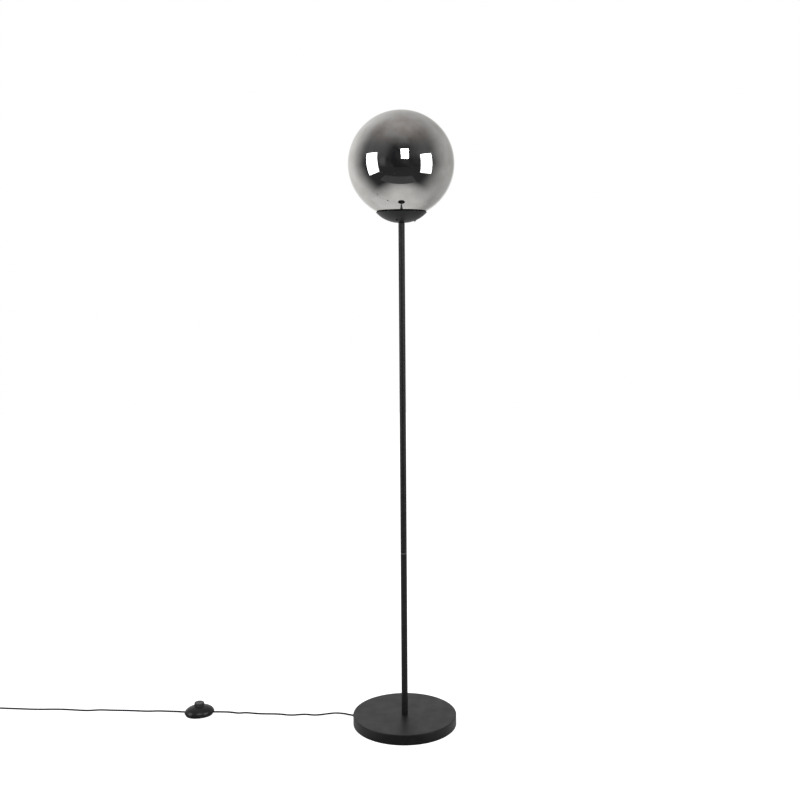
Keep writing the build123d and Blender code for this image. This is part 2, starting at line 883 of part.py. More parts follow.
def helix_arc(low, rise, start, end):
    """An arc through three points of the spring's helix, from one turn count to another."""
    points = []
    for turns in (start, (start + end) / 2, end):
        angle = 2 * math.pi * turns
        points.append((
            spring_radius * math.cos(angle), spring_radius * math.sin(angle), low + rise * turns
        ))
    return ThreePointArc(*points)


# ------------------------------------------------------------------------- cord
def exit_point(radius):
    """A point of the cord's straight way out of the base."""
    angle = math.radians(exit_angle)
    return radius * math.cos(angle), radius * math.sin(angle), exit_height


cord_floor = cord_thickness / 2 + floor_gap
switch_half = block_length / 2
base_to_switch_route = [
    exit_point(cover_inside),
    exit_point(cover_radius + 13.0),
    (-150.0, 39.6, 7.9),
    (-171.0, 45.2, 7.2),
    (-192.0, 47.8, 4.0),
    (-221.0, 44.4, cord_floor),
    (-249.0, 52.6, cord_floor),
    (-281.0, 44.8, cord_floor),
    (-312.0, 54.4, cord_floor),
    (-362.0, 55.4, cord_floor),
    (-396.0, 64.2, cord_floor),
    (-414.0, 59.6, cord_floor),
    (-434.0, 66.6, 1.9),
    (-452.0, 62.2, 4.4),
    (switch_x + 41.0, switch_y, switch_split),
    (switch_x + switch_half + 11.0, switch_y, switch_split),
]
switch_to_coil_route = [
    (switch_x - switch_half - 9.0, switch_y, switch_split),
    (switch_x - 39.0, switch_y, switch_split),
    (-570.0, 65.0, 5.2),
    (-593.0, 74.0, 2.1),
    (-617.0, 77.4, cord_floor),
    (-646.0, 75.4, cord_floor),
    (-690.0, 81.0, cord_floor),
    (-735.0, 83.2, cord_floor),
    (-770.0, 86.6, cord_floor),
    (-795.0, 81.4, cord_floor),
    (-836.0, 87.6, cord_floor),
    (-872.0, 92.4, cord_floor),
    (-925.0, 91.2, cord_floor),
    (-978.0, 96.6, cord_floor),
    (-1004.0, 98.8, 1.8),
    (-1024.0, coil_y + coil_outer_radius, coil_low),
    (coil_x + cord_width + twist_length, coil_y + coil_outer_radius, coil_low),
]


def rounded_path(name, route):
    """The route as straight runs joined by tangent arcs as large as the runs allow."""
    points = [Vector(*p) for p in route]
    radii = []
    for before, here, after in zip(points, points[1:], points[2:]):
        turn = math.radians((here - before).get_angle(after - here))
        shorter = min((here - before).length, (after - here).length)
        radii.append(0.45 * shorter / math.tan(turn / 2))
    print(name, "radii", [round(r, 1) for r in radii])
    return FilletPolyline(*points, radius=radii)


def section_at(point, direction, upright):
    """The cord's flat section, square to a direction, lying flat or standing upright."""
    side = Vector(0, 0, 1).cross(Vector(*direction)).normalized()
    plane = Plane(origin=point, x_dir=side, z_dir=direction)
    return plane * Rot(0, 0, 90 if upright else 0) * SlotOverall(cord_width, cord_thickness)


def cord_along(name, path, upright=False):
    """Sweeps the cord's section along a path, its broad side kept level or upright."""
    line = Wire(path.edges())
    section = section_at(line @ 0, line % 0, upright)
    guide = line.moved(Location((0, 0, 100)))
    solid = sweep(section, path=line, binormal=guide)
    expected = section.area * line.length
    print(name, "length", round(line.length, 1), "volume ratio", round(solid.volume / expected, 4))
    return solid


def twisted_run(start, end, upright_at_start):
    """A straight run in which the cord turns a quarter about itself."""
    direction = (Vector(*end) - Vector(*start))
    section = section_at(start, direction.normalized(), upright_at_start)
    return Solid.extrude_linear_with_rotation(section.face(), start, direction, 90)


tail_x = coil_x - coil_outer_radius
tail_start = coil_y - cord_width
twist_end = tail_start - twist_length
tail_end = twist_end - 3.2 * tail_run


def cord_base_to_switch():
    return cord_along("cord_base_to_switch", rounded_path("base to switch", base_to_switch_route))


def cord_switch_to_coil():
    lying = cord_along("cord_switch_to_coil", rounded_path("switch to coil", switch_to_coil_route))
    start = switch_to_coil_route[-1]
    end = (start[0] - twist_length, start[1], start[2])
    return lying + twisted_run(start, end, False)


def coil_edges():
    """Half turns that spiral in on the floor, climb once, and spiral out on top."""
    y, side = coil_y + coil_outer_radius, 1
    edges = [Line((coil_x + cord_width, y, coil_low), (coil_x, y, coil_low))]
    for count in range(2 * coil_half_turns + 1):
        steps_in = min(count, 2 * coil_half_turns - count)
        radius = coil_outer_radius - steps_in * coil_pitch / 2
        start = coil_low if count <= coil_half_turns else coil_high
        end = coil_low if count < coil_half_turns else coil_high
        if count == 2 * coil_half_turns:
            edges.append(quarter_turn(y, radius, end))
        else:
            edges.append(ThreePointArc(
                (coil_x, y, start),
                (coil_x - side * radius, y - side * radius, (start + end) / 2),
                (coil_x, y - 2 * side * radius, end),
            ))
        y -= 2 * side * radius
        side = -side
    last = (coil_x - coil_outer_radius, coil_y, coil_high)
    edges.append(Line(last, (last[0], last[1] - cord_width - end_trim, last[2])))
    return edges


def quarter_turn(y, radius, height):
    """The last quarter turn, from the coil's back to its side away from the lamp."""
    slant = radius * math.sqrt(0.5)
    return ThreePointArc(
        (coil_x, y, height),
        (coil_x - slant, y - radius + slant, height),
        (coil_x - radius, y - radius, height),
    )


def least_coil_gap(line):
    """The least gap between two turns, measured on points of the middle line."""
    count = int(line.length / 2)
    points = [line @ (i / count) for i in range(count + 1)]
    apart = int(math.pi * coil_outer_radius / 2)
    least = coil_outer_radius
    for i, p in enumerate(points):
        for q in points[i + apart // 2:]:
            level = math.hypot(p.X - q.X, p.Y - q.Y) - cord_thickness
            upright = abs(p.Z - q.Z) - cord_width
            least = min(least, max(level, upright))
    return least


def cord_coil():
    """The spare cord, wound on its edge as a neat coil in two layers."""
    line = Wire(coil_edges())
    print("coil least gap to itself", round(least_coil_gap(line), 2))
    beyond = Pos(tail_x, tail_start, coil_high) * Box(
        2 * cord_width, 2 * end_trim, 2 * cord_width, align=(Align.CENTER, Align.MAX, Align.CENTER)
    )
    return cord_along("cord_coil", line, upright=True) - beyond


coil_to_plug_route = [
    (tail_x, twist_end, coil_high),
    (tail_x, twist_end - tail_run, coil_high),
    (tail_x, tail_end + tail_run, plug_middle),
    (tail_x, tail_end, plug_middle),
]


def cord_coil_to_plug():
    twist = twisted_run(
        (tail_x, tail_start, coil_high), (tail_x, twist_end, coil_high), True
    )
    return twist + cord_along("cord_coil_to_plug", rounded_path("coil to plug", coil_to_plug_route))


# ------------------------------------------------------------------------- plug
def at_plug(solid):
    """Moves something made along +X, from the cord's end, to the plug's place on the floor."""
    return Pos(tail_x, tail_end, plug_middle) * Rot(0, 0, -90) * solid


def across(place):
    """A plane square to the plug's length."""
    return Plane(origin=(place, 0, 0), x_dir=(0, 1, 0), z_dir=(1, 0, 0))


def plug_strain_relief():
    """The grooved taper between the cord and the plug."""
    relief = loft([
        across(0) * SlotOverall(relief_tip_width, relief_tip_height),
        across(relief_length) * SlotOverall(relief_front_width, relief_front_height),
    ])
    step = relief_length / (relief_grooves + 1)
    for number in range(1, relief_grooves + 1):
        place = number * step
        share = place / relief_length
        width = relief_tip_width + share * (relief_front_width - relief_tip_width)
        height = relief_tip_height + share * (relief_front_height - relief_tip_height)
        start, end = place - relief_groove_width / 2, place + relief_groove_width / 2
        groove = rounded_bar(width + 4, height + 4, start, end) - rounded_bar(
            width - 2 * relief_groove_depth, height - 2 * relief_groove_depth, start, end
        )
        relief -= groove
    return at_plug(relief)


def plug_body():
    """The flat moulded body, widening from the cord to the pins' face."""
    front = relief_length + plug_length
    body = loft([
        across(relief_length) * RectangleRounded(plug_back_width, plug_back_height, plug_edge),
        across(front) * RectangleRounded(plug_width, plug_height, plug_edge),
    ])
    for pin in pin_bars(pin_core_radius, front - pin_root, front):
        body -= pin
    sleeves = pin_bars(pin_sleeve_radius, front, front + pin_sleeve_length)
    cores = pin_bars(pin_core_radius, front, front + pin_sleeve_length)
    for sleeve, core in zip(sleeves, cores):
        body += sleeve - core
    return at_plug(body)


def pin_bars(radius, start, end):
    bar = Pos(start, 0, 0) * (Rot(0, 90, 0) * Cylinder(radius, end - start, align=UP))
    return [Pos(0, side * pin_spacing / 2, 0) * bar for side in (-1, 1)]


def plug_pins():
    """Two round pins, thin inside their plastic sleeves."""
    front = relief_length + plug_length
    middle, end = front + pin_sleeve_length, front + pin_length
    pins = []
    for thin, thick in zip(
        pin_bars(pin_core_radius, front - pin_root, middle), pin_bars(pin_radius, middle, end)
    ):
        tip = fillet(thick.edges().group_by(Axis.X)[-1], pin_tip_radius)
        pins.append(at_plug(thin + tip))
    return group(pins)


def supply_cord_inside():
    """The cord inside the lamp: under the weight, up through the pole, to the lampholder."""
    line = FilletPolyline(
        (cover_inside, 0, 0), (0, 0, 0), (0, 0, core_bottom - exit_height),
        radius=inlet_turn_radius,
    )
    section = Plane(origin=(cover_inside, 0, 0), x_dir=(0, 1, 0), z_dir=(-1, 0, 0))
    solid = sweep(section * SlotOverall(cord_width, cord_thickness), path=line)
    print("cord inside the lamp, length", round(line.length, 1))
    return at_exit(solid)


# ------------------------------------------------------------------------ parts
makers = {
    "base_cover": base_cover,
    "ballast_weight": ballast_weight,
    "base_bottom_plate": base_bottom_plate,
    "base_plate_screws": base_plate_screws,
    "base_pad": base_pad,
    "foot_washer": foot_washer,
    "foot_nut": foot_nut,
    "foot_nipple": foot_nipple,
    "base_cord_bushing": base_cord_bushing,
    "base_cord_clamp": base_cord_clamp,
    "base_cord_clamp_screws": base_cord_clamp_screws,
    "pole_lower": lambda: pole_tube(0),
    "pole_middle": lambda: pole_tube(1),
    "pole_upper": lambda: pole_tube(2),
    "pole_inserts": pole_inserts,
    "pole_joining_nipples": pole_joining_nipples,
    "cup": cup,
    "cup_screws": cup_screws,
    "cup_washer": cup_washer,
    "cup_nut": cup_nut,
    "top_nipple": top_nipple,
    "holder_pillars": holder_pillars,
    "globe_holder_plate": globe_holder_plate,
    "globe_clips": globe_clips,
    "clip_rivets": clip_rivets,
    "globe_gasket": globe_gasket,
    "globe_glass": globe_glass,
    "lampholder_cap": lampholder_cap,
    "lampholder_skirt": lampholder_skirt,
    "lampholder_core": lampholder_core,
    "lampholder_sleeve": lampholder_sleeve,
    "lampholder_contact": lampholder_contact,
    "bulb_cap": bulb_cap,
    "bulb_insulator": bulb_insulator,
    "bulb_glass": bulb_glass,
    "bulb_stem": bulb_stem,
    "bulb_filaments": bulb_filaments,
    "bulb_support_wires": bulb_support_wires,
    "supply_cord_inside": supply_cord_inside,
    "cord_base_to_switch": cord_base_to_switch,
    "switch_lower_shell": switch_lower_shell,
    "switch_upper_shell": switch_upper_shell,
    "switch_case_screws": switch_case_screws,
    "switch_block": switch_block,
    "switch_cord_clamps": switch_cord_clamps,
    "switch_clamp_screws": switch_clamp_screws,
    "switch_button": switch_button,
    "switch_spring": switch_spring,
    "cord_switch_to_coil": cord_switch_to_coil,
    "cord_coil": cord_coil,
    "cord_coil_to_plug": cord_coil_to_plug,
    "plug_strain_relief": plug_strain_relief,
    "plug_body": plug_body,
    "plug_pins": plug_pins,
}

os.makedirs("parts", exist_ok=True)
for name, make in makers.items():
    export_step(make(), os.path.join("parts", name + ".step"))
print(len(makers), "parts")
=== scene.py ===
# %% [markdown]
# # A globe floor lamp, dressed for its picture
# The lamp is a mirror-smoked glass globe in a shallow black cup, on a thin black pole with a
# weighted disc base, a flat black cord and an oval foot switch. Its exact construction comes in as
# a fixed frame of nodes. This file makes what a frame of plain solids lacks: turned and blown
# shapes with smooth shading, real finishes, the cord as one supple line, a camera and a studio.
# %% Load the frame
import math

import bmesh
import bpy
from mathutils import Matrix, Quaternion, Vector


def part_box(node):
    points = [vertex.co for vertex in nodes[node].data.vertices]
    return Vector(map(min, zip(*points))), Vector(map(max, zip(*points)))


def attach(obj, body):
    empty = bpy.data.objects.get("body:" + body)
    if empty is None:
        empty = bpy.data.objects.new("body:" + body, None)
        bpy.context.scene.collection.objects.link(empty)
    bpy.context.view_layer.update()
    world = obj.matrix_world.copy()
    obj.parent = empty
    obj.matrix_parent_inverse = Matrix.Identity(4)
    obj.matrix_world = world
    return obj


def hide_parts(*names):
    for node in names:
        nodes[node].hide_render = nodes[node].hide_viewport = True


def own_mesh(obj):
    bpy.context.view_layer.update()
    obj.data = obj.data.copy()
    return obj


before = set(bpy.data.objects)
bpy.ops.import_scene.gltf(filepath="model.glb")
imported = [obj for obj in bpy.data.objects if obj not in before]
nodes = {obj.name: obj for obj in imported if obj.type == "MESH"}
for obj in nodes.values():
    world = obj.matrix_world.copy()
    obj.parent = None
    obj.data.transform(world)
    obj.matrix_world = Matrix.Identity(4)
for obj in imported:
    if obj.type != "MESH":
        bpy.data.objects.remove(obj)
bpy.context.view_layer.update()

scene = bpy.context.scene
MM = 0.001

# %% [markdown]
# ## The camera
# The photograph was taken from a little above the middle of the pole, almost level. A camera's
# lens and height could be guessed and nudged, but here they were fitted to three circles whose
# true shape is known: the base, the cup's rim and the globe. The small tilt makes the pole lean as
# it does in the picture, and the small shift keeps the lamp where the picture's crop has it.
# %% Camera
CAMERA_PLACE = (0.0, -2.4552, 1.0711)
CAMERA_PITCH = 0.0703
CAMERA_ROLL = -0.00667
CAMERA_LENS = 46.697
CAMERA_SHIFT = (-0.0030, -0.0567)

camera = bpy.data.objects.new("camera", bpy.data.cameras.new("camera"))
scene.collection.objects.link(camera)
camera.data.lens = CAMERA_LENS
camera.data.shift_x, camera.data.shift_y = CAMERA_SHIFT
camera.matrix_world = (
    Matrix.Translation(CAMERA_PLACE)
    @ Matrix.Rotation(math.pi / 2 - CAMERA_PITCH, 4, "X")
    @ Matrix.Rotation(CAMERA_ROLL, 4, "Z")
)
scene.camera = camera
scene.view_settings.view_transform = "Standard"
print("camera at", CAMERA_PLACE, "with a lens of", CAMERA_LENS, "mm")

# %% [markdown]
# ## Colours and nodes
# Every finish below starts from a colour written as a maker would read it off a screen, in sRGB
# hex. Blender's sockets want linear light, so one function turns one into the other. A second
# small function adds a shader or geometry node, sets it and links it, so that a material reads as
# a short list.
# %% Helpers for materials
NOISE_RANGE = (0.3, 0.7)  # nearly all of a noise's values lie in it


def linear(hex_colour):
    """An sRGB hex colour as linear red, green, blue and alpha."""
    values = []
    for start in (0, 2, 4):
        share = int(hex_colour[start:start + 2], 16) / 255
        values.append(share / 12.92 if share <= 0.04045 else ((share + 0.055) / 1.055) ** 2.4)
    return (*values, 1.0)


def add(tree, kind, links=None, **settings):
    """Adds a node, sets its properties, and fills or links its inputs by name or number."""
    node = tree.nodes.new(kind)
    for name, value in settings.items():
        setattr(node, name, value)
    for name, value in (links or {}).items():
        if isinstance(value, bpy.types.NodeSocket):
            tree.links.new(value, node.inputs[name])
        else:
            node.inputs[name].default_value = value
    return node


def new_material(name):
    """An empty material and its node tree."""
    material = bpy.data.materials.new(name)
    material.use_nodes = True
    material.node_tree.nodes.clear()
    return material, material.node_tree


def surfaced(material, values):
    """The material, with one principled shader of these values as its surface."""
    shader = add(material.node_tree, "ShaderNodeBsdfPrincipled", values)
    add(material.node_tree, "ShaderNodeOutputMaterial", {"Surface": shader.outputs[0]})
    return material


def noise(tree, size_mm, detail, stretch=(1, 1, 1)):
    """Noise whose lumps are about size_mm apart on the object."""
    place = add(tree, "ShaderNodeTexCoord").outputs["Object"]
    place = add(tree, "ShaderNodeMapping", {"Vector": place, "Scale": stretch}).outputs[0]
    return add(tree, "ShaderNodeTexNoise", {
        "Vector": place, "Scale": 1 / (size_mm * MM), "Detail": detail,
    }).outputs[0]


def bump(tree, size_mm, depth, detail=2.0, stretch=(1, 1, 1)):
    """A bump from that noise, its depth in millimetres."""
    return add(tree, "ShaderNodeBump", {
        "Height": noise(tree, size_mm, detail, stretch), "Strength": 1.0, "Distance": depth * MM,
    }).outputs[0]


def spread(tree, size_mm, low, high, detail=2.0):
    """A number that wanders between low and high in patches of about size_mm."""
    return add(tree, "ShaderNodeMapRange", {
        "Value": noise(tree, size_mm, detail),
        "From Min": NOISE_RANGE[0], "From Max": NOISE_RANGE[1], "To Min": low, "To Max": high,
    }).outputs[0]


def mixed(tree, share, first, second):
    """A colour between two others, which are its sockets 6 and 7, by a share from 0 to 1."""
    return add(tree, "ShaderNodeMix", {0: share, 6: first, 7: second}, data_type="RGBA").outputs[2]


def smooth_step(tree, value, low, high):
    """A soft edge: 0 where a value is at low, 1 where it is at high."""
    return add(tree, "ShaderNodeMapRange", {
        "Value": value, "From Min": low, "From Max": high,
    }, interpolation_type="SMOOTHSTEP").outputs[0]


def worked(tree, operation, first, second):
    """One sum of two numbers."""
    return add(tree, "ShaderNodeMath", {0: first, 1: second}, operation=operation).outputs[0]


def band(tree, value, low, full_from, full_to, high):
    """A soft-edged range: 1 between its two middle values, 0 beyond its outer ones."""
    return all_of(
        tree, smooth_step(tree, value, low, full_from), smooth_step(tree, value, high, full_to)
    )


def all_of(tree, *shares):
    """The product of several shares, which is 1 only where each of them is."""
    total = shares[0]
    for share in shares[1:]:
        total = worked(tree, "MULTIPLY", total, share)
    return total


def two_tone(tree, size_mm, first, second, detail=2.0):
    """A colour that wanders between two hex colours in patches of about size_mm."""
    return mixed(tree, spread(tree, size_mm, 0.0, 1.0, detail), linear(first), linear(second))


print("black of the enamel in linear light:", [round(v, 4) for v in linear("0f0f11")])

# %% [markdown]
# ## Powder-coated steel
# Cup, pole and base cover are one finish: black polyester powder, baked on steel. It lies a little
# rough, like orange peel, so a reflection spreads into a soft grey sheen instead of a picture. The
# lumps of such a coat are half a millimetre apart, far too fine to show from where the camera is,
# so the bump is drawn a few millimetres wide, and the gloss wanders a little in wider patches.
# %% Powder coat


def powder_coat():
    material, tree = new_material("powder_coat_black")
    return surfaced(material, {
        "Base Color": two_tone(tree, 18, "0f0f11", "151517"),
        "Roughness": spread(tree, 30, 0.40, 0.48),
        "Normal": bump(tree, 3.0, 0.035),
        "IOR": 1.5,
        "Specular IOR Level": 0.3,
    })


def coat_edge_glint():
    """The chamfered end of a tube, where the coat is thin over steel, made pale as a painted
    glint.
    """
    material, tree = new_material("powder_coat_edge_glint")
    return surfaced(material, {
        "Base Color": two_tone(tree, 4, "a4a4a6", "cacacc"),
        "Roughness": spread(tree, 3, 0.35, 0.5),
        "Metallic": 0.6,
    })


POWDER = powder_coat()
EDGE = coat_edge_glint()
print("made", POWDER.name, "and", EDGE.name)

# %% [markdown]
# ## Metals
# The hidden metals each get the look of how they were made: zinc plating is dull with pale
# patches, sprung strip is brushed lengthways, cast iron is dark and grainy, brass is rolled and a
# little tarnished, and nickel is bright. A metal's colour is the colour of its mirror image, and
# only the roughness says how much that image blurs.
# %% Metals


def grained(name, first, second, patch_mm, rough, grain_mm, grain_depth,
            stretch=(1, 1, 1), metallic=0.0, gloss=0.5):
    """A finish with two close colours, a range of roughness and a fine grain."""
    material, tree = new_material(name)
    return surfaced(material, {
        "Base Color": two_tone(tree, patch_mm, first, second),
        "Roughness": spread(tree, patch_mm / 2, *rough),
        "Normal": bump(tree, grain_mm, grain_depth, stretch=stretch),
        "Metallic": metallic,
        "Specular IOR Level": gloss,
    })


def metal(*look):
    return grained(*look, metallic=1.0)


ZINC = metal("zinc_plated_steel", "b9babd", "9fa0a6", 4, (0.28, 0.42), 0.8, 0.01)
SPRUNG = metal("spring_steel_strip", "a9a9ab", "8f8f93", 6, (0.2, 0.3), 0.5, 0.01, (1, 1, 0.1))
IRON = metal("cast_iron", "4a4846", "35332f", 9, (0.55, 0.75), 1.2, 0.12)
BRASS = metal("rolled_brass", "c7a35a", "b08a45", 5, (0.22, 0.36), 0.6, 0.01)
NICKEL = metal("nickel_plate", "c8c4ba", "b5b0a6", 5, (0.12, 0.2), 0.8, 0.006)
print("metals:", ZINC.name, SPRUNG.name, IRON.name, BRASS.name, NICKEL.name)

# %% [markdown]
# ## Plastics, rubber and ceramic
# The switch and plug are moulded, so they have a faint sheen with a fine spark-eroded grain from
# the mould. The cord's soft PVC is duller and a little greasy in its highlights. The lampholder
# is phenolic resin with a steatite core, which is chalky, and the pad and gasket are soft.
# %% Plastics and the rest
SWITCH_ABS = grained(
    "moulded_abs_black", "131315", "19191b", 12, (0.3, 0.38), 1.0, 0.02,
    gloss=0.4,
)
BUTTON_ABS = grained("button_abs_black", "242426", "2a2a2c", 8, (0.36, 0.46), 0.8, 0.03)
PLUG_PLASTIC = grained("plug_plastic_black", "1c1c1d", "232324", 10, (0.42, 0.52), 0.7, 0.03)
CORD_PVC = grained(
    "cord_pvc_black", "050506", "09090a", 15, (0.5, 0.6), 1.5, 0.02,
    gloss=0.15,
)
SOFT_PVC = grained("soft_pvc_black", "191919", "202020", 6, (0.45, 0.55), 0.8, 0.02)
PHENOLIC = grained("phenolic_resin_black", "171615", "1f1d1c", 8, (0.25, 0.35), 1.2, 0.01)
STEATITE = grained("steatite_ceramic", "dcd6c8", "cfc8b8", 5, (0.6, 0.75), 0.6, 0.02)
FOAM = grained("eva_foam_black", "1d1d1d", "262626", 2, (0.85, 0.95), 0.8, 0.1)
SILICONE = grained("silicone_grey", "a9a9a6", "b4b4b0", 10, (0.4, 0.5), 1.0, 0.01)
FIBRE = grained("moulded_contact_block", "7a4527", "5f351d", 3, (0.5, 0.65), 0.6, 0.03)
VITRITE = grained("black_glass_insulator", "08080a", "101014", 5, (0.05, 0.1), 2.0, 0.01)
PHOSPHOR = grained("filament_phosphor", "e0a23c", "cf8f2a", 2, (0.6, 0.75), 0.3, 0.03)
print("finishes so far:", len(bpy.data.materials))

# %% [markdown]
# ## Mirror-smoked glass
# The globe is clear smoked glass with a very thin layer of metal steamed on it, so it acts as a
# grey mirror that still lets a little light through. A plain dark glass would look like a bottle,
# and a plain metal ball like a bearing. Here one shader is mostly metal and the rest is smoked
# glass, with the metal thinning out towards the mouth, as the layer does. The steam settles in
# faint clouds, so the gloss and the grey wander over hand-wide patches, and blown glass is never
# quite round, so a very low, very wide bump bends the reflections a little.
# %% Globe glass
GLOBE_LOW, GLOBE_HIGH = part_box("globe_glass")
GLOBE_RADIUS = 0.125
GLOBE_CENTRE = GLOBE_HIGH[2] - GLOBE_RADIUS
LAYER_THIN = 0.80
LAYER_FULL = 0.97
LAYER_FULL_BELOW = 0.02
GLASS_IOR = 1.5
BULB_IOR = 1.47


def mirror_smoke():
    material, tree = new_material("mirror_smoked_glass")
    place = add(tree, "ShaderNodeTexCoord").outputs["Object"]
    height = add(tree, "ShaderNodeSeparateXYZ", {"Vector": place}).outputs["Z"]
    layer = add(tree, "ShaderNodeMapRange", {
        "Value": height, "From Min": GLOBE_LOW[2], "From Max": GLOBE_CENTRE - LAYER_FULL_BELOW,
        "To Min": LAYER_THIN, "To Max": LAYER_FULL,
    }, interpolation_type="SMOOTHSTEP").outputs[0]
    return surfaced(material, {
        "Base Color": two_tone(tree, 45, "bdbbb9", "d5d4d3", detail=4.0),
        "Metallic": layer,
        "Roughness": spread(tree, 45, 0.015, 0.05),
        "Normal": bump(tree, 60, 0.10, detail=0.0),
        "Transmission Weight": 1.0,
        "IOR": GLASS_IOR,
    })


def clear_glass(name, first, second, rough, wave_mm, wave_depth, ior):
    """Bare glass, a little wavy, in one colour or wandering between two."""
    material, tree = new_material(name)
    return surfaced(material, {
        "Base Color": two_tone(tree, 70, first, second) if second else linear(first),
        "Roughness": rough,
        "Normal": bump(tree, wave_mm, wave_depth, detail=0.0),
        "Transmission Weight": 1.0,
        "IOR": ior,
    })


MIRROR = mirror_smoke()
SMOKE = clear_glass("smoked_glass_inner", "a9a7a5", "b4b2b0", 0.02, 60, 0.08, GLASS_IOR)
CLEAR = clear_glass("clear_bulb_glass", "f4f2ec", None, 0.01, 12, 0.02, BULB_IOR)
print("globe centre at", round(GLOBE_CENTRE, 4), "m, mouth at", round(GLOBE_LOW[2], 4), "m")

# %% [markdown]
# ## The cord: one spline with a flat section
# The cord is a flat twin PVC lead, 5.2 mm wide and 3.2 mm thick. A curve with a round bevel would
# make it a hose, so its line is a NURBS curve through a few listed points, and a flat ring of
# points is carried along that line. The ring stays level where the cord lies flat, and is turned
# on edge where it is wound.
# %% Helpers for the cord
CORD_WIDTH = 0.0052
CORD_THICKNESS = 0.0032
CORD_GROOVE = 0.00018


def link(mesh, name, *materials):
    """A new object for a mesh, with its materials."""
    piece = bpy.data.objects.new(name, mesh)
    scene.collection.objects.link(piece)
    for material in materials:
        mesh.materials.append(material)
    return piece


def nurbs_line(name, points):
    """The smooth line that a NURBS spline draws for a route, as a list of points."""
    curve = bpy.data.curves.new(name, "CURVE")
    curve.dimensions = "3D"
    curve.resolution_u = 10
    spline = curve.splines.new("NURBS")
    spline.points.add(len(points) - 1)
    for place, point in zip(spline.points, points):
        place.co = (*point, 1.0)
    spline.order_u = 3
    spline.use_endpoint_u = True
    holder = bpy.data.objects.new(name, curve)
    line = bpy.data.meshes.new_from_object(holder)
    found = [vertex.co.copy() for vertex in line.vertices]
    bpy.data.objects.remove(holder)
    bpy.data.meshes.remove(line)
    kept = found[:1]
    for point in found[1:]:
        if (point - kept[-1]).length > 1e-6:
            kept.append(point)
    return kept


def lengths_along(line):
    """The distance from the line's start to each of its points."""
    total = [0.0]
    for before, after in zip(line, line[1:]):
        total.append(total[-1] + (after - before).length)
    return total


def flat_ring(sides=12):
    """The cord's section: two half rounds joined by flats, with a shallow groove on each flat."""
    half = CORD_THICKNESS / 2
    offset = CORD_WIDTH / 2 - half
    ring = []
    for side in (1, -1):
        for step in range(sides + 1):
            angle = side * (-math.pi / 2 + math.pi * step / sides)
            ring.append((side * (offset + half * math.cos(angle)), half * math.sin(angle)))
        ring.append((0.0, side * (half - CORD_GROOVE)))
    return ring


def skin(mesh, rings, closed=True, marks=None):
    """Faces between rings that follow each other. marks names each stretch's material."""
    for stretch in range(len(rings) if closed else len(rings) - 1):
        first, second = rings[stretch], rings[(stretch + 1) % len(rings)]
        for here in range(len(first)):
            after = (here + 1) % len(first)
            corners = dict.fromkeys((first[here], first[after], second[after], second[here]))
            if len(corners) > 2:
                face = mesh.faces.new(list(corners))
                face.material_index = marks(stretch) if marks else 0


def finished(mesh, name, *materials, sharp=35):
    """The bmesh as an object with outward normals, smooth but for edges over an angle."""
    bmesh.ops.recalc_face_normals(mesh, faces=mesh.faces)
    made = bpy.data.meshes.new(name)
    mesh.to_mesh(made)
    mesh.free()
    made.shade_smooth()
    made.set_sharp_from_angle(angle=math.radians(sharp))
    return link(made, name, *materials)


def flat_cord(name, line, quarter_turn):
    """The flat section along a line, turned on its side by a share that depends on the length."""
    ring = flat_ring()
    mesh = bmesh.new()
    loops = []
    for index, (point, distance) in enumerate(zip(line, lengths_along(line))):
        before, after = line[max(index - 1, 0)], line[min(index + 1, len(line) - 1)]
        along = (after - before).normalized()
        side = Vector((0, 0, 1)).cross(along).normalized()
        up = along.cross(side)
        angle = quarter_turn(distance) * math.pi / 2
        wide = side * math.cos(angle) + up * math.sin(angle)
        thick = up * math.cos(angle) - side * math.sin(angle)
        loops.append([mesh.verts.new(point + wide * a + thick * b) for a, b in ring])
    skin(mesh, loops, closed=False)
    mesh.faces.new(loops[0])
    mesh.faces.new(loops[-1][::-1])
    return finished(mesh, name, CORD_PVC, sharp=60)


print("cord section points:", len(flat_ring()))

# %% [markdown]
# ## The cord from the base to the foot switch
# It leaves the base low on its left, a little towards the back, drops to the floor in a short
# gentle bend, and keeps the small waves of a lead that has been folded in a box. The points were
# chosen along the photographed cord, a few centimetres apart, and not spaced evenly, because its
# waves are not.
# %% First stretch of cord
EXIT_ANGLE = math.radians(165.5)
EXIT_HEIGHT = 0.00605
SWITCH_X = -0.5106
SWITCH_Y = 0.057
SWITCH_CORD_HEIGHT = 0.007
CORD_FLOOR = 0.00165


def exit_point(radius):
    return (radius * math.cos(EXIT_ANGLE), radius * math.sin(EXIT_ANGLE), EXIT_HEIGHT)


base_to_switch = [
    exit_point(0.1238),
    exit_point(0.138),
    (-0.15, 0.0396, 0.0079),
    (-0.171, 0.0452, 0.0072),
    (-0.192, 0.0478, 0.004),
    (-0.221, 0.0444, CORD_FLOOR),
    (-0.249, 0.0526, CORD_FLOOR),
    (-0.281, 0.0448, CORD_FLOOR),
    (-0.312, 0.0544, CORD_FLOOR),
    (-0.362, 0.0554, CORD_FLOOR),
    (-0.396, 0.0642, CORD_FLOOR),
    (-0.414, 0.0596, CORD_FLOOR),
    (-0.434, 0.0666, 0.0019),
    (-0.452, 0.0622, 0.0044),
    (SWITCH_X + 0.041, SWITCH_Y, SWITCH_CORD_HEIGHT),
    (SWITCH_X + 0.024, SWITCH_Y, SWITCH_CORD_HEIGHT),
]
line_to_switch = nurbs_line("base_to_switch", base_to_switch)
cord_to_switch = flat_cord("cord_to_switch", line_to_switch, lambda distance: 0.0)
print("first stretch:", round(lengths_along(line_to_switch)[-1], 4), "m")

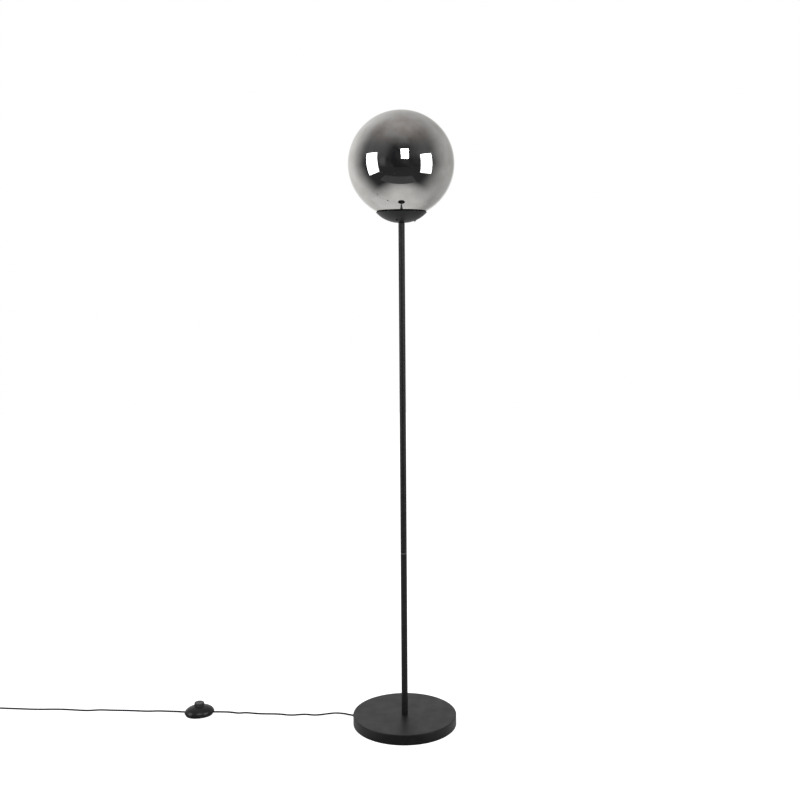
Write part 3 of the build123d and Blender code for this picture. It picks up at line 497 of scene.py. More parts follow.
# %% [markdown]
# ## The cord from the switch to the plug
# The photograph shows this stretch until it leaves the picture on the left. The rest of its two
# metres is put away just outside, as a neat coil in two layers on edge, with the plug beside it.
# The coil's turns are more points of the same spline, worked out by a loop: half turns that spiral
# in along the floor, one half turn that climbs, and half turns that spiral out on top.
# %% Second stretch, coil and tail
COIL_X = -1.061
COIL_Y = 0.065
COIL_RADIUS = 0.0342
COIL_PITCH = 0.0038
COIL_HALF_TURNS = 6
COIL_LOW = 0.00265
COIL_HIGH = 0.00845
COIL_STEPS = 12
TWIST_LENGTH = 0.020
PLUG_HEIGHT = 0.00685

switch_to_coil = [
    (SWITCH_X - 0.022, SWITCH_Y, SWITCH_CORD_HEIGHT),
    (SWITCH_X - 0.039, SWITCH_Y, SWITCH_CORD_HEIGHT),
    (-0.57, 0.065, 0.0052),
    (-0.593, 0.074, 0.0021),
    (-0.617, 0.0774, CORD_FLOOR),
    (-0.646, 0.0754, CORD_FLOOR),
    (-0.69, 0.081, CORD_FLOOR),
    (-0.735, 0.0832, CORD_FLOOR),
    (-0.77, 0.0866, CORD_FLOOR),
    (-0.795, 0.0814, CORD_FLOOR),
    (-0.836, 0.0876, CORD_FLOOR),
    (-0.872, 0.0924, CORD_FLOOR),
    (-0.925, 0.0912, CORD_FLOOR),
    (-0.978, 0.0966, CORD_FLOOR),
    (-1.0040, 0.0988, 0.0018),
    (-1.0240, COIL_Y + COIL_RADIUS, COIL_LOW),
    (COIL_X + CORD_WIDTH + TWIST_LENGTH, COIL_Y + COIL_RADIUS, COIL_LOW),
    (COIL_X + CORD_WIDTH, COIL_Y + COIL_RADIUS, COIL_LOW),
]


def coil_points():
    """Points round the coil's half turns, in along the floor and out again on top."""
    points = []
    start_y, side = COIL_Y + COIL_RADIUS, 1
    for count in range(2 * COIL_HALF_TURNS + 1):
        steps_in = min(count, 2 * COIL_HALF_TURNS - count)
        radius = COIL_RADIUS - steps_in * COIL_PITCH / 2
        low = COIL_LOW if count <= COIL_HALF_TURNS else COIL_HIGH
        high = COIL_LOW if count < COIL_HALF_TURNS else COIL_HIGH
        last = count == 2 * COIL_HALF_TURNS
        for step in range(COIL_STEPS // 2 if last else COIL_STEPS):
            angle = math.pi * step / COIL_STEPS
            points.append((
                COIL_X - side * radius * math.sin(angle),
                start_y - side * radius * (1 - math.cos(angle)),
                low + (high - low) * step / COIL_STEPS,
            ))
        start_y -= 2 * side * radius
        side = -side
    return points


tail_x = COIL_X - COIL_RADIUS
tail_start = COIL_Y - CORD_WIDTH
twist_end = tail_start - TWIST_LENGTH
coil_to_plug = [
    (tail_x, COIL_Y, COIL_HIGH),
    (tail_x, tail_start, COIL_HIGH),
    (tail_x, twist_end, COIL_HIGH),
    (tail_x, twist_end - 0.010, COIL_HIGH),
    (tail_x, twist_end - 0.022, PLUG_HEIGHT),
    (tail_x, twist_end - 0.032, PLUG_HEIGHT),
]
line_to_plug = nurbs_line("switch_to_plug", switch_to_coil + coil_points() + coil_to_plug)


def nearest_length(line, point):
    """The distance along a line at which it passes a point."""
    gaps = [(place - Vector(point)).length for place in line]
    return lengths_along(line)[gaps.index(min(gaps))]


on_edge_from = nearest_length(line_to_plug, switch_to_coil[-1])
flat_until = on_edge_from - TWIST_LENGTH
on_edge_until = nearest_length(line_to_plug, coil_to_plug[1])
flat_from = on_edge_until + TWIST_LENGTH


def coil_turn(distance):
    """How far the section is turned on edge, 0 to 1, at a distance along the cord."""
    into = (distance - flat_until) / TWIST_LENGTH
    out = (flat_from - distance) / TWIST_LENGTH
    return max(0.0, min(1.0, into, out))


cord_to_plug = flat_cord("cord_to_plug", line_to_plug, coil_turn)
print("second stretch:", round(lengths_along(line_to_plug)[-1], 4), "m")

# %% [markdown]
# ## Turned shapes
# Base cover, tubes, cup and globe are all round about one axis: drawn, cut, spun or blown. Each is
# one outline of a few points and arcs, turned about the pole's axis. The Spin operator would do
# it, but a loop that places rings keeps the mesh in clean quads and closes it at the axis, which a
# mirror finish needs.
# %% Helpers for turned shapes
ON_AXIS = 1e-7


def arc(centre, radius, start, end, steps):
    """Points (radius, height) of an arc, angles in degrees from the horizontal."""
    points = []
    for step in range(steps + 1):
        angle = math.radians(start + (end - start) * step / steps)
        points.append((centre[0] + radius * math.cos(angle), centre[1] + radius * math.sin(angle)))
    return points


def round_ring(mesh, radius, height, around, centre=(0, 0)):
    """A ring of vertices about an axis, or one vertex over and over where it lies on the axis."""
    if radius < ON_AXIS:
        return [mesh.verts.new((*centre, height))] * around
    return [mesh.verts.new((
        centre[0] + radius * math.cos(angle), centre[1] + radius * math.sin(angle), height
    )) for angle in (2 * math.pi * step / around for step in range(around))]


def turned(name, outline, around=128, closed=True, marks=None, centre=(0, 0), materials=(POWDER,)):
    """A piece turned from an outline of (radius, height). marks names each stretch's material."""
    mesh = bmesh.new()
    skin(mesh, [round_ring(mesh, *point, around, centre) for point in outline], closed, marks)
    return finished(mesh, name, *materials)


print("an arc of 4 steps:", len(arc((0, 0), 1, 0, 90, 4)), "points")

# %% [markdown]
# ## The globe
# Blown glass, 250 mm across and 3 mm thick, cracked off at the bottom and ground flat where it
# stands on its gasket. Outer and inner face are two arcs about one centre, joined by the ground
# edge. The faces are small, because a mirror shows every flat spot.
# %% Globe
GLASS_WALL = 0.003
mouth = GLOBE_LOW[2] - GLOBE_CENTRE
mouth_out = math.degrees(math.asin(mouth / GLOBE_RADIUS))
mouth_in = math.degrees(math.asin(mouth / (GLOBE_RADIUS - GLASS_WALL)))
GLOBE_STEPS = 96
outer_face = arc((0, GLOBE_CENTRE), GLOBE_RADIUS, mouth_out, 90, GLOBE_STEPS)
inner_face = arc((0, GLOBE_CENTRE), GLOBE_RADIUS - GLASS_WALL, 90, mouth_in, GLOBE_STEPS)
outer_face[-1] = (0.0, outer_face[-1][1])
inner_face[0] = (0.0, inner_face[0][1])


def glass_face(stretch):
    """The mirror layer is on the outer face, and the inner face and the edge are bare."""
    return 0 if stretch < GLOBE_STEPS else 1


globe = turned(
    "globe", outer_face + inner_face, around=192, marks=glass_face, materials=(MIRROR, SMOKE)
)
print("globe faces:", len(globe.data.polygons))

# %% [markdown]
# ## Base cover, tubes and cup
# The base cover is drawn sheet steel, with a small rounded top edge that draws a fine light line
# in the picture. The three tubes are cut and chamfered. Where the coat is thin at the lowest
# tube's top chamfer, a pale colour is a painted highlight: the thin bright ring at that seam. The
# cup is
# spun: a flat bottom, then one sweeping arc to a plain cut rim.
# %% Base cover
COVER_LOW, COVER_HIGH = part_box("base_cover")
cover_radius = COVER_HIGH[0]
COVER_WALL = 0.0012
COVER_EDGE = 0.0014
COVER_BAND = 0.004
COVER_LIP = 0.0006
NIPPLE_HOLE = 0.0053
top = COVER_HIGH[2]
bottom = COVER_LOW[2]
cover_outline = [(NIPPLE_HOLE, top), (cover_radius * 0.5, top), (cover_radius - COVER_BAND, top)]
cover_outline += arc((cover_radius - COVER_EDGE, top - COVER_EDGE), COVER_EDGE, 90, 0, 8)
cover_outline += [
    (cover_radius, top - COVER_BAND),
    (cover_radius, bottom + COVER_LIP),
    (cover_radius - COVER_WALL / 2, bottom),
    (cover_radius - COVER_WALL, bottom + COVER_LIP),
    (cover_radius - COVER_WALL, top - COVER_WALL),
    (NIPPLE_HOLE, top - COVER_WALL),
]
base_cover = turned("base_cover_skin", cover_outline, around=256)
print("base cover radius", round(cover_radius, 4), "height", round(top - bottom, 4))

# %% Tubes of the pole
TUBE_WALL = 0.001
TUBE_CHAMFER = 0.0005
POLE_NODES = ("pole_lower", "pole_middle", "pole_upper")
tubes = []
for node in POLE_NODES:
    low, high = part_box(node)
    radius = (high[0] - low[0]) / 2
    outline = [
        (radius - TUBE_WALL, high[2]),
        (radius - TUBE_CHAMFER, high[2]),
        (radius, high[2] - TUBE_CHAMFER),
        (radius, low[2] + TUBE_CHAMFER),
        (radius - TUBE_CHAMFER, low[2]),
        (radius - TUBE_WALL, low[2]),
    ]
    # Only the lowest tube's top chamfer gets the pale finish, a painted highlight for its seam's
    # glint.
    glint_stretch = 1 if node == "pole_lower" else None
    tubes.append(turned(
        node + "_tube", outline, around=64, materials=(POWDER, EDGE),
        marks=lambda stretch: int(stretch == glint_stretch),
    ))
print("tubes:", [tube.name for tube in tubes])

# %% Cup
CUP_LOW, CUP_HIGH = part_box("cup")
CUP_WALL = 0.0012
CUP_FLAT = 0.012
CUP_CURVE = 0.074
CUP_STEPS = 24
rim_radius = CUP_HIGH[0]
cup_depth = CUP_HIGH[2] - CUP_LOW[2]
half_chord = math.hypot(rim_radius - CUP_FLAT, cup_depth) / 2
rise = math.sqrt(CUP_CURVE**2 - half_chord**2)
run = ((rim_radius - CUP_FLAT) / (2 * half_chord), cup_depth / (2 * half_chord))
curve_x = (rim_radius + CUP_FLAT) / 2 - run[1] * rise
curve_z = CUP_LOW[2] + cup_depth / 2 + run[0] * rise


def cup_arc(radius, low, high, steps):
    """The cup's side as an arc, from one height to another."""
    ends = [math.degrees(math.acos((curve_z - z) / radius)) - 90 for z in (low, high)]
    return arc((curve_x, curve_z), radius, *ends, steps)


RIM_ROUND = 0.0003
side_out = cup_arc(CUP_CURVE, CUP_LOW[2], CUP_HIGH[2] - RIM_ROUND, CUP_STEPS)
side_in = cup_arc(CUP_CURVE - CUP_WALL, CUP_LOW[2] + CUP_WALL, CUP_HIGH[2] - RIM_ROUND, CUP_STEPS)
cup_outline = [(NIPPLE_HOLE, CUP_LOW[2])] + side_out
cup_outline += [(side_out[-1][0] - RIM_ROUND / 2, CUP_HIGH[2])]
cup_outline += [(side_in[-1][0] + RIM_ROUND / 2, CUP_HIGH[2])]
cup_outline += side_in[::-1] + [(NIPPLE_HOLE, CUP_LOW[2] + CUP_WALL)]
cup = turned("cup_bowl", cup_outline, around=160)
print("cup rim radius", round(rim_radius, 4), "curve centre", round(curve_x, 4))

# %% [markdown]
# ## The foot switch
# Two moulded shells, oval in plan, with a low dome whose rim is almost upright, and a round
# button. The dome is neither a turned shape nor a scaled ball with a hole, because its outline is
# oval and its hole is round. So rings are placed one by one, sliding from the round hole out to
# the oval rim, and each point's height comes from the dome's own formula.
# %% Foot switch
SWITCH_LONG = 0.0365
SWITCH_SHORT = 0.029
SWITCH_TURN = math.radians(20)
SWITCH_TOP = 0.0248
SWITCH_SPLIT = 0.007
SWITCH_FOOT_INSET = 0.004
SWITCH_WALL = 0.002
DOME_STEPS = 20
HOLE_EDGE = 0.012
HOLE_DROP = 0.0004
FOOT_ROUND = 0.0009
BUTTON_LOW, BUTTON_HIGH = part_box("switch_button")
BUTTON_FLANGE = 0.0016
flange_radius = (BUTTON_HIGH[0] - BUTTON_LOW[0]) / 2
BUTTON_RADIUS = flange_radius - BUTTON_FLANGE
BUTTON_HOLE = BUTTON_RADIUS + 0.0003
SEAM = 0.0002
AROUND = 96
angles = [2 * math.pi * step / AROUND for step in range(AROUND)]


def place_ring(mesh, points):
    """Vertices for a ring of the switch, turned and moved to its place on the floor."""
    turn = Matrix.Rotation(SWITCH_TURN, 4, "Z")
    return [mesh.verts.new(turn @ Vector(p) + Vector((SWITCH_X, SWITCH_Y, 0))) for p in points]


def dome_ring(mesh, share, inset=0.0, lift=0.0):
    """A ring of the dome, a share of the way from the button's hole to the oval edge."""
    long_half, short_half = SWITCH_LONG - inset, SWITCH_SHORT - inset
    points = []
    for angle in angles:
        x = ((1 - share) * BUTTON_HOLE + share * long_half) * math.cos(angle)
        y = ((1 - share) * BUTTON_HOLE + share * short_half) * math.sin(angle)
        out = 1 - (x / long_half) ** 2 - (y / short_half) ** 2
        rise = (SWITCH_TOP - SWITCH_SPLIT - inset) * math.sqrt(max(0.0, out))
        points.append((x, y, SWITCH_SPLIT + rise + lift))
    return place_ring(mesh, points)


def level_ring(mesh, inset, height):
    """A level oval ring, inset from the switch's widest line."""
    return place_ring(mesh, [(
        (SWITCH_LONG - inset) * math.cos(angle), (SWITCH_SHORT - inset) * math.sin(angle), height
    ) for angle in angles])


def tray_inset(height):
    """How far the tray's side lies inside the widest line at a height."""
    return SWITCH_FOOT_INSET * (1 - height / SWITCH_SPLIT)


def upper_shell():
    """The dome: outside from the hole to the seam, then back up its inside."""
    mesh = bmesh.new()
    shares = [math.sin(math.pi / 2 * step / DOME_STEPS) for step in range(1, DOME_STEPS)]
    rings = [dome_ring(mesh, HOLE_EDGE)]
    rings += [dome_ring(mesh, share) for share in shares]
    rings.append(level_ring(mesh, 0.0, SWITCH_SPLIT + 2 * SEAM))
    rings.append(level_ring(mesh, 2 * SEAM, SWITCH_SPLIT + SEAM / 2))
    rings.append(level_ring(mesh, SWITCH_WALL, SWITCH_SPLIT + SEAM / 2))
    rings += [dome_ring(mesh, share, SWITCH_WALL) for share in shares[::-1]]
    rings.append(dome_ring(mesh, 0.0, SWITCH_WALL))
    rings.append(dome_ring(mesh, 0.0, lift=-HOLE_DROP))
    skin(mesh, rings)
    return finished(mesh, "switch_upper_skin", SWITCH_ABS)


def lower_shell():
    """The tray: inside floor and wall, over the seam, and down the drawn-in outside."""
    mesh = bmesh.new()
    rings = [
        level_ring(mesh, SWITCH_WALL + tray_inset(SWITCH_WALL), SWITCH_WALL),
        level_ring(mesh, SWITCH_WALL, SWITCH_SPLIT - SEAM / 2),
        level_ring(mesh, 2 * SEAM, SWITCH_SPLIT - SEAM / 2),
        level_ring(mesh, tray_inset(SWITCH_SPLIT - 2 * SEAM), SWITCH_SPLIT - 2 * SEAM),
        level_ring(mesh, tray_inset(FOOT_ROUND), FOOT_ROUND),
        level_ring(mesh, tray_inset(FOOT_ROUND / 4) + FOOT_ROUND / 4, FOOT_ROUND / 4),
        level_ring(mesh, SWITCH_FOOT_INSET + FOOT_ROUND, 0.0),
    ]
    skin(mesh, rings, closed=False)
    mesh.faces.new(rings[0])
    mesh.faces.new(rings[-1])
    return finished(mesh, "switch_lower_skin", SWITCH_ABS)


switch_top = upper_shell()
switch_tray = lower_shell()
print("switch shells:", len(switch_top.data.polygons), len(switch_tray.data.polygons), "faces")

# %% [markdown]
# ## The push button
# A moulded cap with a small radius round its top, a shallow dish for the toe and a flange that
# keeps it in the shell. It rides on its own body, because it is pressed.
# %% Push button
BUTTON_EDGE = 0.0016
BUTTON_FLANGE_HEIGHT = 0.0015
BUTTON_WALL = 0.0018
BUTTON_ROOF = 0.0036
BUTTON_DISH = ((0.0, 0.0006), (0.006, 0.0005), (BUTTON_RADIUS - 0.0028, 0.0001))
button_top = BUTTON_HIGH[2]
button_outline = [(radius, button_top - depth) for radius, depth in BUTTON_DISH]
button_outline += arc(
    (BUTTON_RADIUS - BUTTON_EDGE, button_top - BUTTON_EDGE), BUTTON_EDGE, 90, 0, 8
)
button_outline += [
    (BUTTON_RADIUS, BUTTON_LOW[2] + BUTTON_FLANGE_HEIGHT),
    (flange_radius, BUTTON_LOW[2] + BUTTON_FLANGE_HEIGHT),
    (flange_radius, BUTTON_LOW[2]),
    (BUTTON_RADIUS - BUTTON_WALL, BUTTON_LOW[2]),
    (BUTTON_RADIUS - BUTTON_WALL, button_top - BUTTON_ROOF),
    (0.0, button_top - BUTTON_ROOF),
]
button = turned(
    "push_button", button_outline, around=96, closed=False,
    centre=(SWITCH_X, SWITCH_Y), materials=(BUTTON_ABS,),
)
print("button top at", round(button_top, 4))

# %% [markdown]
# ## Screws under the cup
# Three pan-head screws hold the pillars, on a circle round the pole. One head is modelled, with
# its cross recess, and Geometry Nodes repeat it: points on a circle, the head on each point,
# turned to face outwards along the cup's slope. The tree ends in Realize Instances and Set
# Material, because an exported model keeps only real mesh.
# %% One screw head
SCREW_HEAD_RADIUS = 0.0027
SCREW_HEAD_HEIGHT = 0.0016
SCREW_CIRCLE = 0.032
SCREW_FIRST = math.radians(-110)
SCREW_COUNT = 3
HEAD_AROUND = 24


def screw_head(name, radius, height):
    """A pan head, its crown up, with a cross recess pressed in."""
    crown, socket = height * 0.7, radius * 0.35
    outline = [(0.0, 0.0), (radius, 0.0)]
    outline += arc((radius - crown, height * 0.3), crown, 0, 80, 5)
    outline += [(socket, height), (0.0, height)]
    mesh = bmesh.new()
    rings = [round_ring(mesh, *point, HEAD_AROUND) for point in outline]
    skin(mesh, rings, closed=False)
    quarter = HEAD_AROUND // 4
    for here, vertex in enumerate(rings[-2]):
        if here % quarter in (0, 1, quarter - 1):
            vertex.co.z = height * 0.45
            vertex.co.x *= 1.5
            vertex.co.y *= 1.5
    rings[-1][0].co.z = height * 0.35
    return finished(mesh, name, sharp=40)


pan_head = screw_head("pan_head", SCREW_HEAD_RADIUS, SCREW_HEAD_HEIGHT)
print("one head:", len(pan_head.data.vertices), "points")

# %% Repeat the head with Geometry Nodes


def geometry_tree(name, **inputs):
    """A tree that takes and gives geometry, and its inputs. inputs names more, with their kind."""
    tree = bpy.data.node_groups.new(name, "GeometryNodeTree")
    for way in ("OUTPUT", "INPUT"):
        tree.interface.new_socket("Geometry", in_out=way, socket_type="NodeSocketGeometry")
    for label, kind in inputs.items():
        tree.interface.new_socket(label, in_out="INPUT", socket_type="NodeSocket" + kind)
    return tree, add(tree, "NodeGroupInput").outputs


def ring_tree(name, head, material):
    """A tree that puts copies of one object on a circle, tilted, with sizes as named inputs."""
    tree, given = geometry_tree(
        name, Count="Int", Radius="Float", Height="Float", First="Float", Tilt="Float"
    )
    circle = add(tree, "GeometryNodeMeshCircle", {
        "Vertices": given["Count"], "Radius": given["Radius"],
    })
    shift = add(tree, "ShaderNodeCombineXYZ", {"Z": given["Height"]})
    turn = add(tree, "ShaderNodeCombineXYZ", {"Z": given["First"]})
    placed = add(tree, "GeometryNodeTransform", {
        "Geometry": circle.outputs["Mesh"], "Translation": shift.outputs[0],
        "Rotation": turn.outputs[0],
    })
    where = add(tree, "GeometryNodeInputPosition")
    parts = add(tree, "ShaderNodeSeparateXYZ", {"Vector": where.outputs[0]})
    azimuth = worked(tree, "ARCTAN2", parts.outputs["Y"], parts.outputs["X"])
    facing = add(tree, "ShaderNodeCombineXYZ", {"Y": given["Tilt"], "Z": azimuth})
    source = add(tree, "GeometryNodeObjectInfo", {"Object": head})
    copies = add(tree, "GeometryNodeInstanceOnPoints", {
        "Points": placed.outputs["Geometry"], "Instance": source.outputs["Geometry"],
        "Rotation": facing.outputs[0],
    })
    real = add(tree, "GeometryNodeRealizeInstances", {"Geometry": copies.outputs[0]})
    painted = add(tree, "GeometryNodeSetMaterial", {
        "Geometry": real.outputs[0], "Material": material,
    })
    add(tree, "NodeGroupOutput", {"Geometry": painted.outputs[0]})
    return tree


def ring_of(name, head, material, **sizes):
    """Copies of an object on a circle about the pole, as one plain mesh. The object goes."""
    host = link(bpy.data.meshes.new(name), name)
    modifier = host.modifiers.new("ring", "NODES")
    modifier.node_group = ring_tree(name + "_tree", head, material)
    for socket in modifier.node_group.interface.items_tree:
        if socket.in_out == "INPUT" and socket.name in sizes:
            modifier[socket.identifier] = sizes[socket.name]
    graph = bpy.context.evaluated_depsgraph_get()
    plain = bpy.data.meshes.new_from_object(host.evaluated_get(graph))
    host.modifiers.clear()
    host.data = plain
    bpy.data.objects.remove(head)
    return host


SCREW_BLACK = metal("black_oxide_steel", "1b1b1c", "242425", 3, (0.35, 0.5), 0.8, 0.01)
slope = math.asin((SCREW_CIRCLE - curve_x) / CUP_CURVE)
surface = curve_z - CUP_CURVE * math.cos(slope)
cup_heads = ring_of(
    "cup_screw_heads", pan_head, SCREW_BLACK, Count=SCREW_COUNT, Radius=SCREW_CIRCLE,
    Height=surface, First=SCREW_FIRST, Tilt=math.pi - slope,
)
print("screw heads:", len(cup_heads.data.polygons), "faces")

# %% [markdown]
# ## Finishes for the pieces that stay as they are
# Nuts, plates, clips, contacts, the bulb and the plug already have their true shape. They keep
# it, and get their finish here. Their meshes come as loose triangles, which would look faceted,
# so a small Geometry Nodes tree joins the triangles and smooths all but the real edges.
# %% Smooth shading for the carried-over nodes


def smooth_tree(join_mm, edge_degrees):
    """Joins loose triangles, then shades smooth except across edges sharper than an angle."""
    tree, given = geometry_tree("smooth_but_for_edges")
    joined = add(tree, "GeometryNodeMergeByDistance", {
        "Geometry": given[0], "Distance": join_mm * MM,
    })
    angle = add(tree, "GeometryNodeInputMeshEdgeAngle")
    gentle = add(tree, "FunctionNodeCompare", {
        0: angle.outputs[0], 1: math.radians(edge_degrees),
    }, data_type="FLOAT", operation="LESS_THAN")
    soft_edges = add(tree, "GeometryNodeSetShadeSmooth", {
        "Geometry": joined.outputs[0], "Shade Smooth": gentle.outputs[0],
    }, domain="EDGE")
    soft_faces = add(tree, "GeometryNodeSetShadeSmooth", {
        "Geometry": soft_edges.outputs[0], "Shade Smooth": True,
    }, domain="FACE")
    add(tree, "NodeGroupOutput", {0: soft_faces.outputs[0]})
    return tree


FINISHES = [
    (ZINC, "base_bottom_plate base_plate_screws foot_washer foot_nut foot_nipple cup_washer "
           "cup_nut base_cord_clamp_screws pole_inserts pole_joining_nipples top_nipple "
           "holder_pillars globe_holder_plate clip_rivets switch_case_screws "
           "switch_clamp_screws"),
    (SPRUNG, "globe_clips switch_spring"),
    (IRON, "ballast_weight"),
    (BRASS, "lampholder_sleeve lampholder_contact"),
    (NICKEL, "bulb_cap bulb_support_wires plug_pins"),
    (STEATITE, "lampholder_core"),
    (PHENOLIC, "lampholder_cap lampholder_skirt base_cord_clamp"),
    (FIBRE, "switch_block switch_cord_clamps"),
    (FOAM, "base_pad"),
    (SILICONE, "globe_gasket"),
    (VITRITE, "bulb_insulator"),
    (PHOSPHOR, "bulb_filaments"),
    (CLEAR, "bulb_glass bulb_stem"),
    (CORD_PVC, "supply_cord_inside"),
    (SOFT_PVC, "base_cord_bushing plug_strain_relief"),
    (PLUG_PLASTIC, "plug_body"),
]
smoothing = smooth_tree(join_mm=0.002, edge_degrees=32)
for finish, names in FINISHES:
    for name in names.split():
        shape = nodes[name]
        shape.data.materials.clear()
        shape.data.materials.append(finish)
        shape.modifiers.new("smooth", "NODES").node_group = smoothing
print("finished as they are:", sum(len(names.split()) for finish, names in FINISHES))

# %% [markdown]
# ## What stands for what
# Each new piece takes the place of its node and moves with that node's body. The return spring
# under the button gets a mesh of its own.
# %% Replace and ride
PIECES = [
    (globe, "globe", "smoked_glass", ["globe_glass"]),
    (base_cover, "lamp", "black_enamel", ["base_cover"]),
    *((tube, "lamp", "black_enamel", [node]) for tube, node in zip(tubes, POLE_NODES)),
    (cup, "lamp", "black_enamel", ["cup"]),
    (cup_heads, "lamp", "black_screw", ["cup_screws"]),
    (switch_top, "lamp", "switch_plastic", ["switch_upper_shell"]),
    (switch_tray, "lamp", "switch_plastic", ["switch_lower_shell"]),
    (button, "button", "button_plastic", ["switch_button"]),
    (cord_to_switch, "lamp", "cord_pvc", ["cord_base_to_switch"]),
    (cord_to_plug, "lamp", "cord_pvc", ["cord_switch_to_coil", "cord_coil", "cord_coil_to_plug"]),
]
for piece, body, slot, replaced in PIECES:
    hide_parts(*replaced)
    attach(piece, body)

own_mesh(nodes["switch_spring"])
print("pieces made here:", len(PIECES))

# %% [markdown]
# ## The studio
# The photograph is a cut-out on white, taken in a studio that still shows in the globe: a white
# background and floor, dark room behind the camera, a grey-brown ceiling, and three soft boxes.
# A reflection needs something to reflect, so that studio is built here once, in the world and the
# floor, for glossy and transmitted rays. The camera itself sees plain white. The object is lit
# by the soft boxes and by a plain white world. The floor's mirror image is darker for short rays,
# because the lamp shades the paper close to it.
# %% World
WHITE = linear("ffffff")
PAPER = linear("f4f4f2")
CEILING_WARM = linear("aca29c")
CEILING_GREY = linear("bdbbba")
CEILING_FROM = 0.38
CEILING_GROWTH = 2.0
ROOM_DARK = linear("28282b")
ROOM_GREY = linear("404041")
DRAPE = linear("626365")
DRAPE_X = (-0.80, -0.68, -0.62, -0.50)
DRAPE_Z = (-0.20, 0.0, 0.08, 0.30)
IN_FRONT = (0.0, -0.1)
WALLS = linear("5e5e5f")
WALLS_ASIDE = (0.2, 0.75)
WALLS_RISE = (0.0, 0.35)
BACKDROP_RIGHT = linear("c0c0be")
BACKDROP_SHADE = (-0.7, 0.5)
BACKDROP_WHITEST = (0.84, 1.0)
BACKDROP_EDGE = (-0.1, 0.85)
FORWARD_RIGHT = 0.42
FORWARD_LEFT = 0.06
FORWARD_BELOW = 0.4
CLOUD_SCALE = 2.2
DIFFUSE_LOSS = 0.45


def backdrop(tree, x, y, z):
    """The white backdrop seen in a direction: how much of it, and its shade, greyer at right.
    It comes further forward at the right, and where it runs down on to the floor."""
    leaning = y
    for side, share in (
        (x, FORWARD_RIGHT), (worked(tree, "MULTIPLY", x, -1.0), FORWARD_LEFT),
        (worked(tree, "MULTIPLY", z, -1.0), FORWARD_BELOW),
    ):
        forward = worked(tree, "MULTIPLY", worked(tree, "MAXIMUM", side, 0.0), share)
        leaning = worked(tree, "ADD", leaning, forward)
    shade = mixed(tree, smooth_step(tree, x, *BACKDROP_SHADE), PAPER, BACKDROP_RIGHT)
    shade = mixed(tree, smooth_step(tree, y, *BACKDROP_WHITEST), shade, WHITE)
    return smooth_step(tree, leaning, *BACKDROP_EDGE), shade


def ray_kinds(tree):
    """The kinds of a ray, and whether it was mirrored or went through glass."""
    path = add(tree, "ShaderNodeLightPath").outputs
    return path, worked(tree, "MAXIMUM", path["Is Glossy Ray"], path["Is Transmission Ray"])


def studio_world():
    world = bpy.data.worlds.new("studio")
    scene.world = world
    world.use_nodes = True
    tree = world.node_tree
    tree.nodes.clear()
    way = add(tree, "ShaderNodeTexCoord").outputs["Generated"]
    axes = add(tree, "ShaderNodeSeparateXYZ", {"Vector": way}).outputs
    x, y, z = axes["X"], axes["Y"], axes["Z"]
    clouds = add(tree, "ShaderNodeTexNoise", {"Vector": way, "Scale": CLOUD_SCALE, "Detail": 2.0})
    cloud = smooth_step(tree, clouds.outputs[0], *NOISE_RANGE)
    ceiling = mixed(tree, cloud, CEILING_WARM, CEILING_GREY)
    room = mixed(tree, cloud, ROOM_DARK, ROOM_GREY)
    high = add(tree, "ShaderNodeMapRange", {"Value": z, "From Min": CEILING_FROM, "From Max": 1.0})
    upward = worked(tree, "POWER", high.outputs[0], CEILING_GROWTH)
    drape = all_of(
        tree, band(tree, x, *DRAPE_X), band(tree, z, *DRAPE_Z), smooth_step(tree, y, *IN_FRONT)
    )
    aside = smooth_step(tree, worked(tree, "ABSOLUTE", x, 0.0), *WALLS_ASIDE)
    walls = all_of(tree, aside, smooth_step(tree, z, *WALLS_RISE))
    room = mixed(tree, walls, mixed(tree, drape, room, DRAPE), WALLS)
    front = mixed(tree, upward, room, ceiling)
    share, shade = backdrop(tree, x, y, z)
    seen = mixed(tree, share, front, shade)
    path, sharp = ray_kinds(tree)
    colour = mixed(tree, sharp, WHITE, seen)
    less = worked(tree, "MULTIPLY", path["Is Diffuse Ray"], DIFFUSE_LOSS)
    strength = worked(tree, "SUBTRACT", 1.0, less)
    light = add(tree, "ShaderNodeBackground", {"Color": colour, "Strength": strength})
    add(tree, "ShaderNodeOutputWorld", {"Surface": light.outputs[0]})


studio_world()
print("world:", scene.world.name)

# %% Floor
FLOOR_SIZE = 12.0
FLOOR_GREY = linear("d0d0d0")
FLOOR_GLOW = 0.82
ROOM_FLOOR = linear("363637")
PAPER_FRONT = -1.24
PAPER_SEAM = 0.03
POOL_OF_LIGHT = (2.0, 0.4)
POOL_STRETCH = (1.3, 1.0, 1.0)
BOARD = linear("505051")
BOARD_X = (-1.7, -1.6, 1.0, 1.1)
BOARD_FRONT = (-2.2, -2.15)
CLOSE_BY = (0.05, 1.2)
CLOSE_GLEAM = 0.12
BESIDE = (0.04, 0.14, 0.25, 0.4)
BESIDE_GLEAM = 0.7


